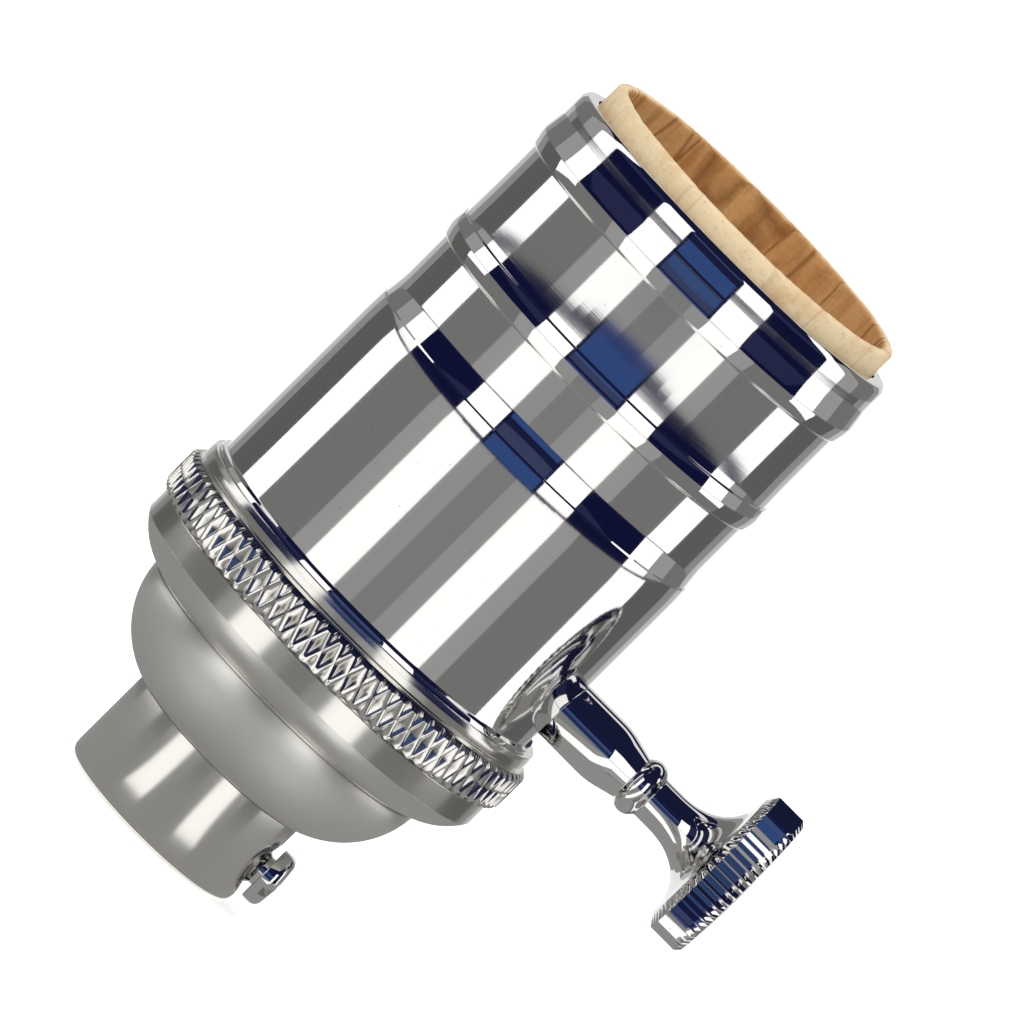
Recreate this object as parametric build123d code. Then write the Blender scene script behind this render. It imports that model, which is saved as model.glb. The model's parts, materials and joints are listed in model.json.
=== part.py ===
from build123d import *
import os
from math import cos, pi, radians, sin

# Rotary knob lamp socket. Millimetres, +Z from the neck up to the lamp, +X out to the knob.
# The origin is the centre of the neck's lower face, where the lamp pipe enters.

# Fits and clearances
running_gap = 0.05
seat_gap = 0.05
thread_gap = 0.1
wire_gap = 0.3

# Cap: neck, dome, skirt, knurled band and smooth rim
pipe_bore_r = 4.75
pipe_bore_depth = 8.2
neck_r = 8.8
neck_h = 8.4
neck_edge = 0.9
cap_wall = 1.2
dome_r = 14.65
dome_curve = 7.2
groove_h = 0.5
skirt_r = 18.1
skirt_curve = 3.2
skirt_h = 4.7
band_h = 3.8
band_root_r = 18.2
band_tip_r = 18.78
band_count = 86
band_rows = 1
undercut_h = 0.25
undercut_depth = 0.5
rim_r = 17.98
rim_h = 1.2
rim_edge = 0.3

# Set screw in the neck
set_screw_z = 3.95
set_screw_r = 1.75
set_screw_head_r = 2.55
set_screw_head_h = 1.7
set_screw_standoff = 0.4
screw_slot_w = 0.8
screw_slot_depth = 0.8
screw_crown = 0.5
spot_face_r = 2.8
spot_face_depth = 0.35

# Outer shell
shell_r = 17.08
shell_wall = 0.5
shoulder_r = 17.45
shoulder_h = 0.35
shoulder_flare = 0.25
step_z = 44.1
step_groove = 0.3
step_roll_r = 16.9
step_roll_h = 2.6
lower_waist_r = 16.68
mid_bead_z = 51.0
mid_bead_r = 17.17
mid_bead_h = 2.6
upper_waist_r = 16.78
mouth_bead_z = 61.15
mouth_bead_r = 17.26
mouth_bead_h = 3.05
bead_edge = 0.3
mouth_r = 16.92
mouth_top = 67.1
mouth_round = 0.7
mouth_lip_r = 15.5
key_slot_w = 6.6

# Insulating liner and cap insulator
liner_r = 15.36
liner_wall = 1.06
liner_top = 70.0
liner_edge = 0.4
insulator_wall = 0.6
insulator_slope = 2.2
wire_hole_r = 6.0

# Switch body
shaft_z = 30.5
base_flange_h = 1.5
body_r = 14.0
cover_top = 41.5
chamber_r = 6.2
chamber_half = 7.0
terminal_y = 9.0
terminal_recess_w = 11.0
terminal_recess_h = 10.2

# Spindle, bearing, drum and contacts
shaft_r = 1.6
shaft_tail = 10.5
shaft_tip = 22.5
bushing_r = 2.9
bushing_flange_r = 4.2
bushing_flange_t = 0.7
bushing_length = 9.2
clip_t = 0.6
clip_r = 3.0
clip_groove = 0.45
clip_mouth = 1.6
rotor_r = 4.5
cam_length = 4.0
cam_flat = 3.5
contact_w = 3.0
contact_t = 0.5
contact_span = 200
strip_t = 0.35
strip_gap = 0.15
hot_strip_z = 27.0
strip_reach = 2.5
leaf_t = 0.4
leaf_w = 3.0
leaf_half = 5.0

# Terminals
terminal_w = 7.0
terminal_t = 0.8
terminal_foot = 0.7
terminal_screw_z = 24.0
terminal_screw_r = 1.75
terminal_head_r = 3.0
terminal_head_h = 1.6
terminal_standoff = 0.4
terminal_shank = 3.2
hot_terminal_h = 8.2
strap_foot_reach = 2.1
strap_foot_x = 9.3

# Lamp screw shell, centre contact and rivets
thread_pitch = 3.629
thread_major_r = 13.28
thread_minor_r = 12.2
thread_turns = 4.75
thread_lead_in = 3.4
screw_shell_t = 0.4
screw_shell_h = 24.0
screw_shell_hole_r = 9.0
rivet_ring_r = 10.6
rivet_angle = 45
rivet_r = 1.1
rivet_head_r = 1.5
rivet_head_h = 0.7
tongue_w = 5.0
tongue_t = 0.4
tongue_back = 6.2
tongue_rivet_y = 4.2
tongue_flat = 4.4
tongue_rise = 3.4
tongue_reach = 5.2
centre_rivet_depth = 3.0

# Knob
knob_start = 15.75
stem_r = 2.8
stem_end = 22.1
taper_r = 2.13
knob_bead_x = 25.75
knob_bead_r = 2.62
knob_bead_half = 1.0
waist_r = 1.93
waist_end = 28.3
trumpet_r = 6.4
trumpet_end = 33.5
disc_r = 7.35
disc_start = 33.8
disc_end = 37.6
disc_edge = 0.45
disc_crown = 0.4
rib_count = 58
rib_depth = 0.32

# Heights that follow from the sizes above
dome_top = neck_h + dome_curve
skirt_z = dome_top + groove_h
band_z = skirt_z + skirt_h
band_top = band_z + band_h
cap_top = band_top + undercut_h + rim_h
cap_bore_r = rim_r - cap_wall - 0.2
seat_z = skirt_z + cap_wall
base_z = seat_z + insulator_wall
flange_z = base_z + base_flange_h
screw_shell_top = cover_top + screw_shell_h
spigot_r = cap_bore_r - thread_gap
spigot_bore_r = spigot_r - shell_wall
spigot_z = base_z + wire_gap
liner_bore_r = liner_r - liner_wall
terminal_z = flange_z + terminal_foot
recess_top = flange_z + terminal_recess_h
bushing_end = chamber_half + bushing_length - bushing_flange_t
clip_x = chamber_half - bushing_flange_t - running_gap - clip_t
rotor_x0 = -chamber_half + wire_gap
rotor_x1 = clip_x - wire_gap
cam_x1 = rotor_x0 + cam_length
contact_x = (cam_x1 + rotor_x1 - contact_w) / 2
rivet_x = rivet_ring_r * cos(radians(rivet_angle))
rivet_y = rivet_ring_r * sin(radians(rivet_angle))
strip_y = rotor_r + strip_gap


def turned(*edges):
    """Solid of revolution about Z from the closed outline that the edges, given as (radius, height), make."""
    return revolve(Plane.XZ * make_face(edges), axis=Axis.Z)


def rod(r, z0, z1):
    """Cylinder on the Z axis between two heights."""
    return Pos(0, 0, z0) * Cylinder(r, z1 - z0, align=(Align.CENTER, Align.CENTER, Align.MIN))


def tube(r_out, r_in, z0, z1):
    """Plain ring on the Z axis between two heights."""
    return rod(r_out, z0, z1) - rod(r_in, z0, z1)


def block(x0, x1, y0, y1, z0, z1):
    """Block between two corners."""
    corner = (Align.MIN, Align.MIN, Align.MIN)
    return Pos(x0, y0, z0) * Box(x1 - x0, y1 - y0, z1 - z0, align=corner)


def on_spindle(shape):
    """Turn a shape made along +Z so that it lies along +X at the spindle's height."""
    return Pos(0, 0, shaft_z) * Rot(0, 90, 0) * shape


def outward(shape, side):
    """Turn a shape made along +Z so that it lies along +Y or -Y."""
    return Rot(-90 * side, 0, 0) * shape


def slotted_head(r, height, z0):
    """Domed screw head with a driver slot, its flat underside at z0."""
    head = turned(
        Line((0, z0), (r, z0)),
        Line((r, z0), (r, z0 + height - screw_crown)),
        ThreePointArc((r, z0 + height - screw_crown), (r * 0.75, z0 + height - 0.15), (0, z0 + height)),
        Line((0, z0 + height), (0, z0)),
    )
    floor = z0 + height - screw_slot_depth
    return head - block(-screw_slot_w / 2, screw_slot_w / 2, -r, r, floor, z0 + height)


def key_slot(width):
    """Slot for the knob's stem: round over the spindle and open downwards."""
    mouth = block(0, skirt_r, -width / 2, width / 2, 0, shaft_z)
    return mouth + on_spindle(rod(width / 2, 0, skirt_r))


def knurled_band():
    """Diamond knurl: a ring whose outer face has crossing ridges, with a diamond pit between each four."""
    columns = 2 * band_count
    levels = 2 * band_rows + 1
    inner_r = rim_r - undercut_depth

    def point(r, j, k):
        turn = 2 * pi * (j % columns) / columns
        return Vector(r * cos(turn), r * sin(turn), band_z + band_h * k / (levels - 1))

    def outer(j, k):
        return point(band_tip_r if (j + k) % 2 else band_root_r, j, k)

    faces = []
    for j in range(columns):
        for k in range(levels - 1):
            a, b, c, d = outer(j, k), outer(j + 1, k), outer(j + 1, k + 1), outer(j, k + 1)
            halves = ((a, b, c), (a, c, d)) if (j + k) % 2 else ((a, b, d), (b, c, d))
            faces += [Face(Wire.make_polygon(half)) for half in halves]
        low = (point(inner_r, j, 0), outer(j, 0), outer(j + 1, 0), point(inner_r, j + 1, 0))
        k = levels - 1
        high = (point(inner_r, j, k), outer(j, k), outer(j + 1, k), point(inner_r, j + 1, k))
        wall = (low[0], low[3], high[3], high[0])
        faces += [Face(Wire.make_polygon(side)) for side in (low, high, wall)]
    return Solid(Shell(faces))


def make_cap():
    """Cap turned from one piece: neck with the pipe bore, dome, skirt, knurled band and rim."""
    bowl_r = dome_r - cap_wall
    bowl_z = pipe_bore_depth + cap_wall
    body = turned(
        Line((pipe_bore_r, 0), (neck_r - neck_edge, 0)),
        RadiusArc((neck_r - neck_edge, 0), (neck_r, neck_edge), -neck_edge),
        Line((neck_r, neck_edge), (neck_r, neck_h)),
        RadiusArc((neck_r, neck_h), (dome_r, dome_top), -dome_curve - 0.1),
        Polyline((dome_r, dome_top), (dome_r, skirt_z), (skirt_r - skirt_curve, skirt_z)),
        RadiusArc((skirt_r - skirt_curve, skirt_z), (skirt_r, skirt_z + skirt_curve), -skirt_curve),
        Polyline(
            (skirt_r, skirt_z + skirt_curve),
            (skirt_r, band_z),
            (rim_r - undercut_depth / 2, band_z),
            (rim_r - undercut_depth / 2, band_top),
            (rim_r - undercut_depth, band_top + undercut_h / 2),
            (rim_r, band_top + undercut_h),
            (rim_r, cap_top - rim_edge),
            (rim_r - rim_edge, cap_top),
            (cap_bore_r, cap_top),
            (cap_bore_r, seat_z),
            (bowl_r, seat_z),
            (bowl_r, dome_top),
        ),
        RadiusArc((bowl_r, dome_top), (neck_r - cap_wall, bowl_z), dome_curve - 0.4),
        Polyline((neck_r - cap_wall, bowl_z), (pipe_bore_r, bowl_z), (pipe_bore_r, 0)),
    )
    screw_line = Pos(0, 0, set_screw_z) * Rot(0, 90, 0)
    body -= screw_line * rod(set_screw_r + running_gap, 0, neck_r)
    body -= screw_line * rod(spot_face_r, neck_r - spot_face_depth, neck_r + 1)
    return body + knurled_band()


def make_set_screw():
    """Slotted screw that locks the lamp pipe, its tip just short of the pipe."""
    head_z = neck_r + set_screw_standoff
    shank = rod(set_screw_r, pipe_bore_r + wire_gap, head_z)
    screw = shank + slotted_head(set_screw_head_r, set_screw_head_h, head_z)
    return Pos(0, 0, set_screw_z) * Rot(0, 90, 0) * screw


def make_cap_insulator():
    """Pressed fibre bowl that lines the cap and carries the switch on its flange."""
    cup_r = dome_r - cap_wall - seat_gap
    floor_r = cup_r - insulator_slope
    cup_floor = neck_h + cap_wall + dome_curve / 2
    fall = cup_floor + insulator_wall
    return turned(
        Polyline(
            (wire_hole_r, cup_floor),
            (floor_r, cup_floor),
            (cup_r, dome_top),
            (cup_r, seat_z),
            (cap_bore_r - seat_gap, seat_z),
            (cap_bore_r - seat_gap, base_z),
            (cup_r - insulator_wall, base_z),
            (cup_r - insulator_wall, dome_top + insulator_wall / 3),
            (floor_r - insulator_wall, fall),
            (wire_hole_r, fall),
            (wire_hole_r, cup_floor),
        )
    )


def shell_outline(inset):
    """Outer line of the drawn shell from its shoulder to the mouth, moved inwards by the inset."""
    flare_z = cap_top + shoulder_h
    body_z = flare_z + shoulder_flare
    low_bead = (mid_bead_z, mid_bead_h, mid_bead_r)
    high_bead = (mouth_bead_z, mouth_bead_h, mouth_bead_r)

    def at(r, z):
        return (r - inset, z)

    def bead(base, height, peak, r_below, r_above):
        rise = (peak - r_below) * 0.6
        low = at(r_below + rise, base + bead_edge)
        high = at(r_above + rise * 0.5, base + height - bead_edge / 2)
        crest = at(peak, base + height * 0.45)
        return [
            Line(at(r_below, base), low),
            ThreePointArc(low, crest, high),
            Line(high, at(r_above, base + height)),
        ]

    lines = [
        Line(at(shoulder_r, cap_top), at(shoulder_r, flare_z)),
        RadiusArc(at(shoulder_r, flare_z), at(shell_r, body_z), 1.6),
        Line(at(shell_r, body_z), at(shell_r, step_z)),
        Line(at(shell_r, step_z), at(step_roll_r - 0.1, step_z + step_groove)),
        ThreePointArc(
            at(step_roll_r - 0.1, step_z + step_groove),
            at(step_roll_r, step_z + step_roll_h * 0.4),
            at(lower_waist_r, step_z + step_roll_h),
        ),
        Line(at(lower_waist_r, step_z + step_roll_h), at(lower_waist_r, mid_bead_z)),
        *bead(*low_bead, lower_waist_r, upper_waist_r),
        Line(at(upper_waist_r, mid_bead_z + mid_bead_h), at(upper_waist_r, mouth_bead_z)),
        *bead(*high_bead, upper_waist_r, mouth_r),
    ]
    return lines


def make_outer_shell():
    """Drawn shell: threaded spigot in the cap, shoulder, step, two beads and the inrolled mouth."""
    roll = mouth_round - shell_wall
    bead_top = mouth_bead_z + mouth_bead_h
    outside = [
        Polyline((spigot_bore_r, spigot_z), (spigot_r, spigot_z), (spigot_r, cap_top), (shoulder_r, cap_top)),
        *shell_outline(0),
        Line((mouth_r, bead_top), (mouth_r, mouth_top - mouth_round)),
        RadiusArc((mouth_r, mouth_top - mouth_round), (mouth_r - mouth_round, mouth_top), -mouth_round),
        Line((mouth_r - mouth_round, mouth_top), (mouth_lip_r, mouth_top)),
    ]
    inside = [
        Polyline(
            (mouth_lip_r, mouth_top),
            (mouth_lip_r, mouth_top - shell_wall),
            (mouth_r - mouth_round, mouth_top - shell_wall),
        ),
        RadiusArc(
            (mouth_r - mouth_round, mouth_top - shell_wall),
            (mouth_r - shell_wall, mouth_top - mouth_round),
            roll,
        ),
        Line((mouth_r - shell_wall, mouth_top - mouth_round), (mouth_r - shell_wall, bead_top)),
        *shell_outline(shell_wall),
        Polyline((shoulder_r - shell_wall, cap_top), (spigot_bore_r, cap_top), (spigot_bore_r, spigot_z)),
    ]
    return turned(*outside, *inside) - key_slot(key_slot_w)


def make_insulating_liner():
    """Fibre tube that stands on the switch body's flange and ends just outside the mouth."""
    sleeve = tube(liner_r, liner_bore_r, flange_z, liner_top)
    rim = sleeve.edges().group_by(Axis.Z)[-1]
    return fillet(rim, liner_edge) - key_slot(key_slot_w)


def rivet_pair(r, z0, z1):
    """The same rod at both of the long rivets' places."""
    one = rod(r, z0, z1)
    return Pos(rivet_x, rivet_y, 0) * one + Pos(-rivet_x, -rivet_y, 0) * one


def spindle_room():
    """Space that both halves of the switch body leave round the spindle, its bearing and the drum."""
    chamber = rod(chamber_r, -chamber_half, chamber_half)
    bearing = rod(bushing_r + seat_gap, chamber_half, body_r + 1)
    tail = rod(shaft_r + running_gap, -shaft_tail - wire_gap, -chamber_half)
    return on_spindle(chamber + bearing + tail)


def strap_channel():
    """Channel up the side of the switch body for the neutral strap, with the pocket for its foot."""
    half = terminal_w / 2 + seat_gap
    y0 = terminal_y
    foot_z = cover_top - terminal_t
    upright = block(-half, half, y0, body_r + 1, flange_z, cover_top)
    foot_y = y0 + terminal_t - strap_foot_reach - terminal_t - seat_gap
    foot = block(-half, strap_foot_x + seat_gap, foot_y, body_r + 1, foot_z, cover_top)
    return upright + foot


def make_switch_base():
    """Lower half of the moulded body: flange, terminal recesses, half of the chamber and the leaf's seat."""
    body = rod(spigot_bore_r - seat_gap - running_gap, base_z, flange_z) + rod(body_r, flange_z, shaft_z)
    half_w = terminal_recess_w / 2
    for side in (1, -1):
        recess = block(-half_w, half_w, terminal_y, body_r + 2, flange_z, recess_top)
        wires = block(-half_w, half_w, terminal_y + terminal_t, spigot_r, base_z, flange_z)
        hole_end = terminal_y - terminal_shank - terminal_standoff
        hole = Pos(0, 0, terminal_screw_z) * outward(
            rod(terminal_screw_r + running_gap, hole_end, terminal_y), 1
        )
        for space in (recess, wires, hole):
            body -= space if side == 1 else Rot(0, 0, 180) * space
    body -= spindle_room() + strap_channel() + hot_strip_notch() + leaf_seat()
    return body - rivet_pair(rivet_r + seat_gap, base_z, shaft_z) - rivet_pair(
        rivet_head_r + seat_gap, base_z, base_z + rivet_head_h + seat_gap
    )


def hot_strip_notch():
    """Notch in the wall between the chamber and the hot terminal, for the hot strip."""
    x0 = contact_x - seat_gap
    x1 = contact_x + contact_w + seat_gap
    return block(x0, x1, -terminal_y, -strip_y + seat_gap, hot_strip_z - seat_gap, shaft_z)


def leaf_seat():
    """Seat for the two ends of the index leaf under the cam."""
    leaf_top = shaft_z - rotor_r - strip_gap
    x0 = rotor_x0
    low = leaf_top - leaf_t - seat_gap
    return block(x0, x0 + leaf_w + seat_gap, -leaf_half - seat_gap, leaf_half + seat_gap, low, shaft_z)


def make_switch_cover():
    """Upper half of the moulded body: the other half of the chamber and the seat of the screw shell."""
    body = rod(body_r, shaft_z, cover_top) - spindle_room() - strap_channel()
    x0 = contact_x - seat_gap
    x1 = contact_x + contact_w + seat_gap
    body -= block(x0, x1, strip_y - seat_gap, strip_y + strip_t + seat_gap, shaft_z, cover_top)
    body -= Pos(0, -tongue_rivet_y, 0) * rod(rivet_r, cover_top - centre_rivet_depth, cover_top)
    return body - rivet_pair(rivet_r + seat_gap, shaft_z, cover_top)


def make_screw_shell():
    """Rolled brass shell: floor, lead-in and the lamp thread pressed through its thin wall."""
    r_in = thread_minor_r
    r_out = r_in + screw_shell_t
    top = screw_shell_top
    body = tube(r_out, r_in, cover_top, top)
    body += tube(r_out, screw_shell_hole_r, cover_top, cover_top + screw_shell_t)
    length = thread_turns * thread_pitch
    start = cover_top + thread_lead_in
    path = Pos(0, 0, start) * Helix(thread_pitch, length, r_in)

    def thread(inset, foot):
        crest = thread_pitch * 0.3
        root = thread_pitch * 0.84 - 2 * inset
        low_r = foot
        high_r = thread_major_r + screw_shell_t - inset
        outline = make_face(
            Polyline(
                (low_r, 0, start - root / 2),
                (high_r, 0, start - crest / 2),
                (high_r, 0, start + crest / 2),
                (low_r, 0, start + root / 2),
                (low_r, 0, start - root / 2),
            )
        )
        return sweep(outline, path=path, is_frenet=True)

    body = body + thread(0, r_in + screw_shell_t / 2)
    body = body - thread(screw_shell_t, r_in - screw_shell_t)
    return body - rivet_pair(rivet_r + seat_gap, cover_top, cover_top + screw_shell_t)


def make_assembly_rivets():
    """Two long rivets that hold screw shell, cover and base together."""
    low = rivet_pair(rivet_head_r, base_z, base_z + rivet_head_h)
    shank = rivet_pair(rivet_r, base_z, cover_top + screw_shell_t)
    high = rivet_pair(rivet_head_r, cover_top + screw_shell_t, cover_top + screw_shell_t + rivet_head_h)
    return low + shank + high


def make_hot_terminal():
    """Terminal plate in the recess on the -Y side."""
    half = terminal_w / 2
    y0 = terminal_y + strip_t
    plate = block(-half, half, y0, y0 + terminal_t, terminal_z, terminal_z + hot_terminal_h)
    hole = Pos(0, 0, terminal_screw_z) * outward(rod(terminal_screw_r + running_gap, 0, body_r), 1)
    return Rot(0, 0, 180) * (plate - hole)


def make_neutral_terminal():
    """Terminal plate on the +Y side whose strap runs up to the floor of the screw shell."""
    half = terminal_w / 2
    y0 = terminal_y + seat_gap
    y1 = y0 + terminal_t
    plate = block(-half, half, y0, y1, terminal_z, cover_top)
    foot = block(-half, strap_foot_x, y0 - strap_foot_reach, y1, cover_top - terminal_t, cover_top)
    hole = Pos(0, 0, terminal_screw_z) * outward(rod(terminal_screw_r + running_gap, 0, body_r), 1)
    return plate + foot - hole - rivet_pair(rivet_r + seat_gap, flange_z, cover_top)


def make_terminal_screw(side):
    """Binding screw of a terminal, its head a little off the plate to take the wire."""
    plate = strip_t if side < 0 else seat_gap
    head_y = terminal_y + plate + terminal_t + terminal_standoff
    tip_y = terminal_y - terminal_shank + wire_gap
    screw = rod(terminal_screw_r, tip_y, head_y) + slotted_head(terminal_head_r, terminal_head_h, head_y)
    return Pos(0, 0, terminal_screw_z) * outward(screw, side)


def make_hot_screw():
    """Binding screw of the hot terminal, on the -Y side."""
    return make_terminal_screw(-1)


def make_neutral_screw():
    """Binding screw of the neutral terminal, on the +Y side."""
    return make_terminal_screw(1)


def make_hot_spring():
    """Bronze strip from behind the hot terminal plate through the wall and up beside the drum."""
    x0 = contact_x
    x1 = contact_x + contact_w
    y_wall = -terminal_y
    behind = block(x0, x1, y_wall - strip_t, y_wall, terminal_z, hot_strip_z + strip_t)
    across = block(x0, x1, y_wall - strip_t, -strip_y, hot_strip_z, hot_strip_z + strip_t)
    wiper = block(x0, x1, -strip_y - strip_t, -strip_y, hot_strip_z, shaft_z + strip_reach)
    hole = Pos(0, 0, terminal_screw_z) * outward(rod(terminal_screw_r + running_gap, 0, body_r), -1)
    return behind + across + wiper - hole


def make_load_spring():
    """Bronze strip from beside the drum up through the cover and across under the tongue."""
    x0 = contact_x
    x1 = contact_x + contact_w
    wiper = block(x0, x1, strip_y, strip_y + strip_t, shaft_z - strip_reach, cover_top + strip_t)
    across = block(x0, x1, 0, strip_y + strip_t, cover_top, cover_top + strip_t)
    foot = block(-tongue_w / 2, x1, -tongue_back, 0, cover_top, cover_top + strip_t)
    return wiper + across + foot - Pos(0, -tongue_rivet_y, 0) * rod(rivet_r, cover_top, cover_top + strip_t)


def make_centre_contact():
    """Sprung tongue that rises under the tip of the lamp."""
    z0 = cover_top + strip_t
    bend = (-tongue_back + tongue_flat, z0)
    middle = (bend[0] + tongue_reach * 0.55, z0 + tongue_rise * 0.7)
    tip = (bend[0] + tongue_reach, z0 + tongue_rise)
    lift = Vector(0, tongue_t)
    outline = make_face(
        [
            Line((-tongue_back, z0), bend),
            ThreePointArc(bend, middle, tip),
            Line(tip, Vector(*tip) + lift),
            ThreePointArc(Vector(*tip) + lift, Vector(*middle) + lift, Vector(*bend) + lift),
            Polyline(Vector(*bend) + lift, (-tongue_back, z0 + tongue_t), (-tongue_back, z0)),
        ]
    )
    strip = extrude(Plane.YZ * outline, tongue_w / 2, both=True)
    return strip - Pos(0, -tongue_rivet_y, 0) * rod(rivet_r, z0, z0 + tongue_t)


def make_centre_rivet():
    """Rivet that holds the tongue and the load strip to the cover."""
    head_z = cover_top + strip_t + tongue_t
    rivet = rod(rivet_r, cover_top - centre_rivet_depth, head_z)
    rivet += rod(rivet_head_r, head_z, head_z + rivet_head_h)
    return Pos(0, -tongue_rivet_y, 0) * rivet


def make_knob_shaft():
    """Steel spindle with the groove for its clip."""
    shaft = rod(shaft_r, -shaft_tail, shaft_tip)
    groove = tube(shaft_r + 1, shaft_r - clip_groove, clip_x - running_gap, clip_x + clip_t + running_gap)
    return on_spindle(shaft - groove)


def make_shaft_bushing():
    """Flanged bearing of the spindle, held between the two halves of the switch body."""
    flange_x = chamber_half - bushing_flange_t
    bush = rod(bushing_r, flange_x, bushing_end) + rod(bushing_flange_r, flange_x, chamber_half)
    return on_spindle(bush - rod(shaft_r + running_gap, flange_x, bushing_end))


def make_shaft_clip():
    """Open ring in the spindle's groove."""
    ring = tube(clip_r, shaft_r - clip_groove + 0.02, clip_x, clip_x + clip_t)
    return on_spindle(ring - block(0, clip_r, -clip_mouth / 2, clip_mouth / 2, clip_x, clip_x + clip_t))


def make_switch_rotor():
    """Moulded drum: the square index cam at its blind end and the seat of the contact at the other."""
    bore = rod(shaft_r + 0.02, rotor_x0, rotor_x1)
    drum = rod(rotor_r, cam_x1, rotor_x1)
    cam = rod(rotor_r, rotor_x0, cam_x1) & block(-cam_flat, cam_flat, -cam_flat, cam_flat, rotor_x0, cam_x1)
    seat = contact_ring(contact_t + seat_gap, contact_w + 2 * seat_gap, contact_span + 2)
    return on_spindle(drum + cam - bore - seat)


def contact_ring(depth, width, span):
    """Part ring at the drum's surface, its middle pointing down the chamber."""
    centre = contact_x + contact_w / 2
    band = tube(rotor_r, rotor_r - depth, centre - width / 2, centre + width / 2)
    gap = (360 - span) / 2
    wedge = make_face(
        Polyline(
            (0, 0),
            (-2 * rotor_r * cos(radians(gap)), -2 * rotor_r * sin(radians(gap))),
            (-2 * rotor_r, -2 * rotor_r * sin(radians(gap))),
            (-2 * rotor_r, 2 * rotor_r * sin(radians(gap))),
            (-2 * rotor_r * cos(radians(gap)), 2 * rotor_r * sin(radians(gap))),
            (0, 0),
        )
    )
    return band - Pos(0, 0, centre - width) * extrude(wedge, 2 * width)


def make_rotor_contact():
    """Part ring on the drum that joins the hot strip to the load strip in every other stop."""
    return on_spindle(contact_ring(contact_t, contact_w, contact_span))


def make_index_spring():
    """Leaf that bears on the square cam and gives four stops in a turn."""
    top = shaft_z - rotor_r - strip_gap
    x0 = rotor_x0 + seat_gap
    return block(x0, x0 + leaf_w - seat_gap, -leaf_half, leaf_half, top - leaf_t, top)


def make_turn_knob():
    """Turned knob: stem, bead, waist, trumpet and the ribbed disc."""
    bead_x0 = knob_bead_x - knob_bead_half
    bead_x1 = knob_bead_x + knob_bead_half
    trumpet = Spline(
        (waist_r, waist_end),
        (waist_r + (trumpet_r - waist_r) * 0.24, waist_end + (trumpet_end - waist_end) * 0.5),
        (waist_r + (trumpet_r - waist_r) * 0.45, waist_end + (trumpet_end - waist_end) * 0.76),
        (trumpet_r, trumpet_end),
        tangents=((0, 1), (1, 0.25)),
    )
    body = turned(
        Polyline((0, knob_start), (stem_r, knob_start), (stem_r, stem_end), (taper_r, bead_x0)),
        ThreePointArc((taper_r, bead_x0), (knob_bead_r, knob_bead_x), (waist_r, bead_x1)),
        Line((waist_r, bead_x1), (waist_r, waist_end)),
        trumpet,
        Polyline(
            (trumpet_r, trumpet_end),
            (disc_r - disc_edge, disc_start),
            (disc_r, disc_start + disc_edge),
            (disc_r, disc_end - disc_crown - disc_edge),
            (disc_r - disc_edge, disc_end - disc_crown),
        ),
        ThreePointArc(
            (disc_r - disc_edge, disc_end - disc_crown),
            (disc_r / 2, disc_end - disc_crown / 4),
            (0, disc_end),
        ),
        Line((0, disc_end), (0, knob_start)),
    )
    ribs = []
    for i in range(rib_count):
        for part, r in ((0, disc_r + 0.1), (0.5, disc_r + 0.1), (0.75, disc_r - rib_depth)):
            turn = 2 * pi * (i + part) / rib_count
            ribs.append((r * cos(turn), r * sin(turn)))
    ribbed = Pos(0, 0, trumpet_end) * extrude(make_face(Polyline(*ribs, close=True)), disc_end - trumpet_end)
    body = body & (ribbed + rod(trumpet_r, 0, trumpet_end) + rod(disc_r - disc_edge, trumpet_end, disc_end))
    return on_spindle(body - rod(shaft_r + 0.02, knob_start, shaft_tip))


parts = {
    "cap": make_cap,
    "set_screw": make_set_screw,
    "cap_insulator": make_cap_insulator,
    "outer_shell": make_outer_shell,
    "insulating_liner": make_insulating_liner,
    "switch_base": make_switch_base,
    "switch_cover": make_switch_cover,
    "screw_shell": make_screw_shell,
    "assembly_rivets": make_assembly_rivets,
    "hot_terminal": make_hot_terminal,
    "neutral_terminal": make_neutral_terminal,
    "hot_screw": make_hot_screw,
    "neutral_screw": make_neutral_screw,
    "hot_spring": make_hot_spring,
    "load_spring": make_load_spring,
    "centre_contact": make_centre_contact,
    "centre_rivet": make_centre_rivet,
    "knob_shaft": make_knob_shaft,
    "shaft_bushing": make_shaft_bushing,
    "shaft_clip": make_shaft_clip,
    "switch_rotor": make_switch_rotor,
    "rotor_contact": make_rotor_contact,
    "index_spring": make_index_spring,
    "turn_knob": make_turn_knob,
}

os.makedirs("parts", exist_ok=True)
for node, make in parts.items():
    export_step(make(), f"parts/{node}.step")
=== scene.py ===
import json
from math import asin, atan2, cos, pi, radians, sin, sqrt, tan

import bpy
import numpy as np
from bpy.props import FloatProperty, IntProperty, PointerProperty, StringProperty
from mathutils import Matrix, Vector, noise

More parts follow.
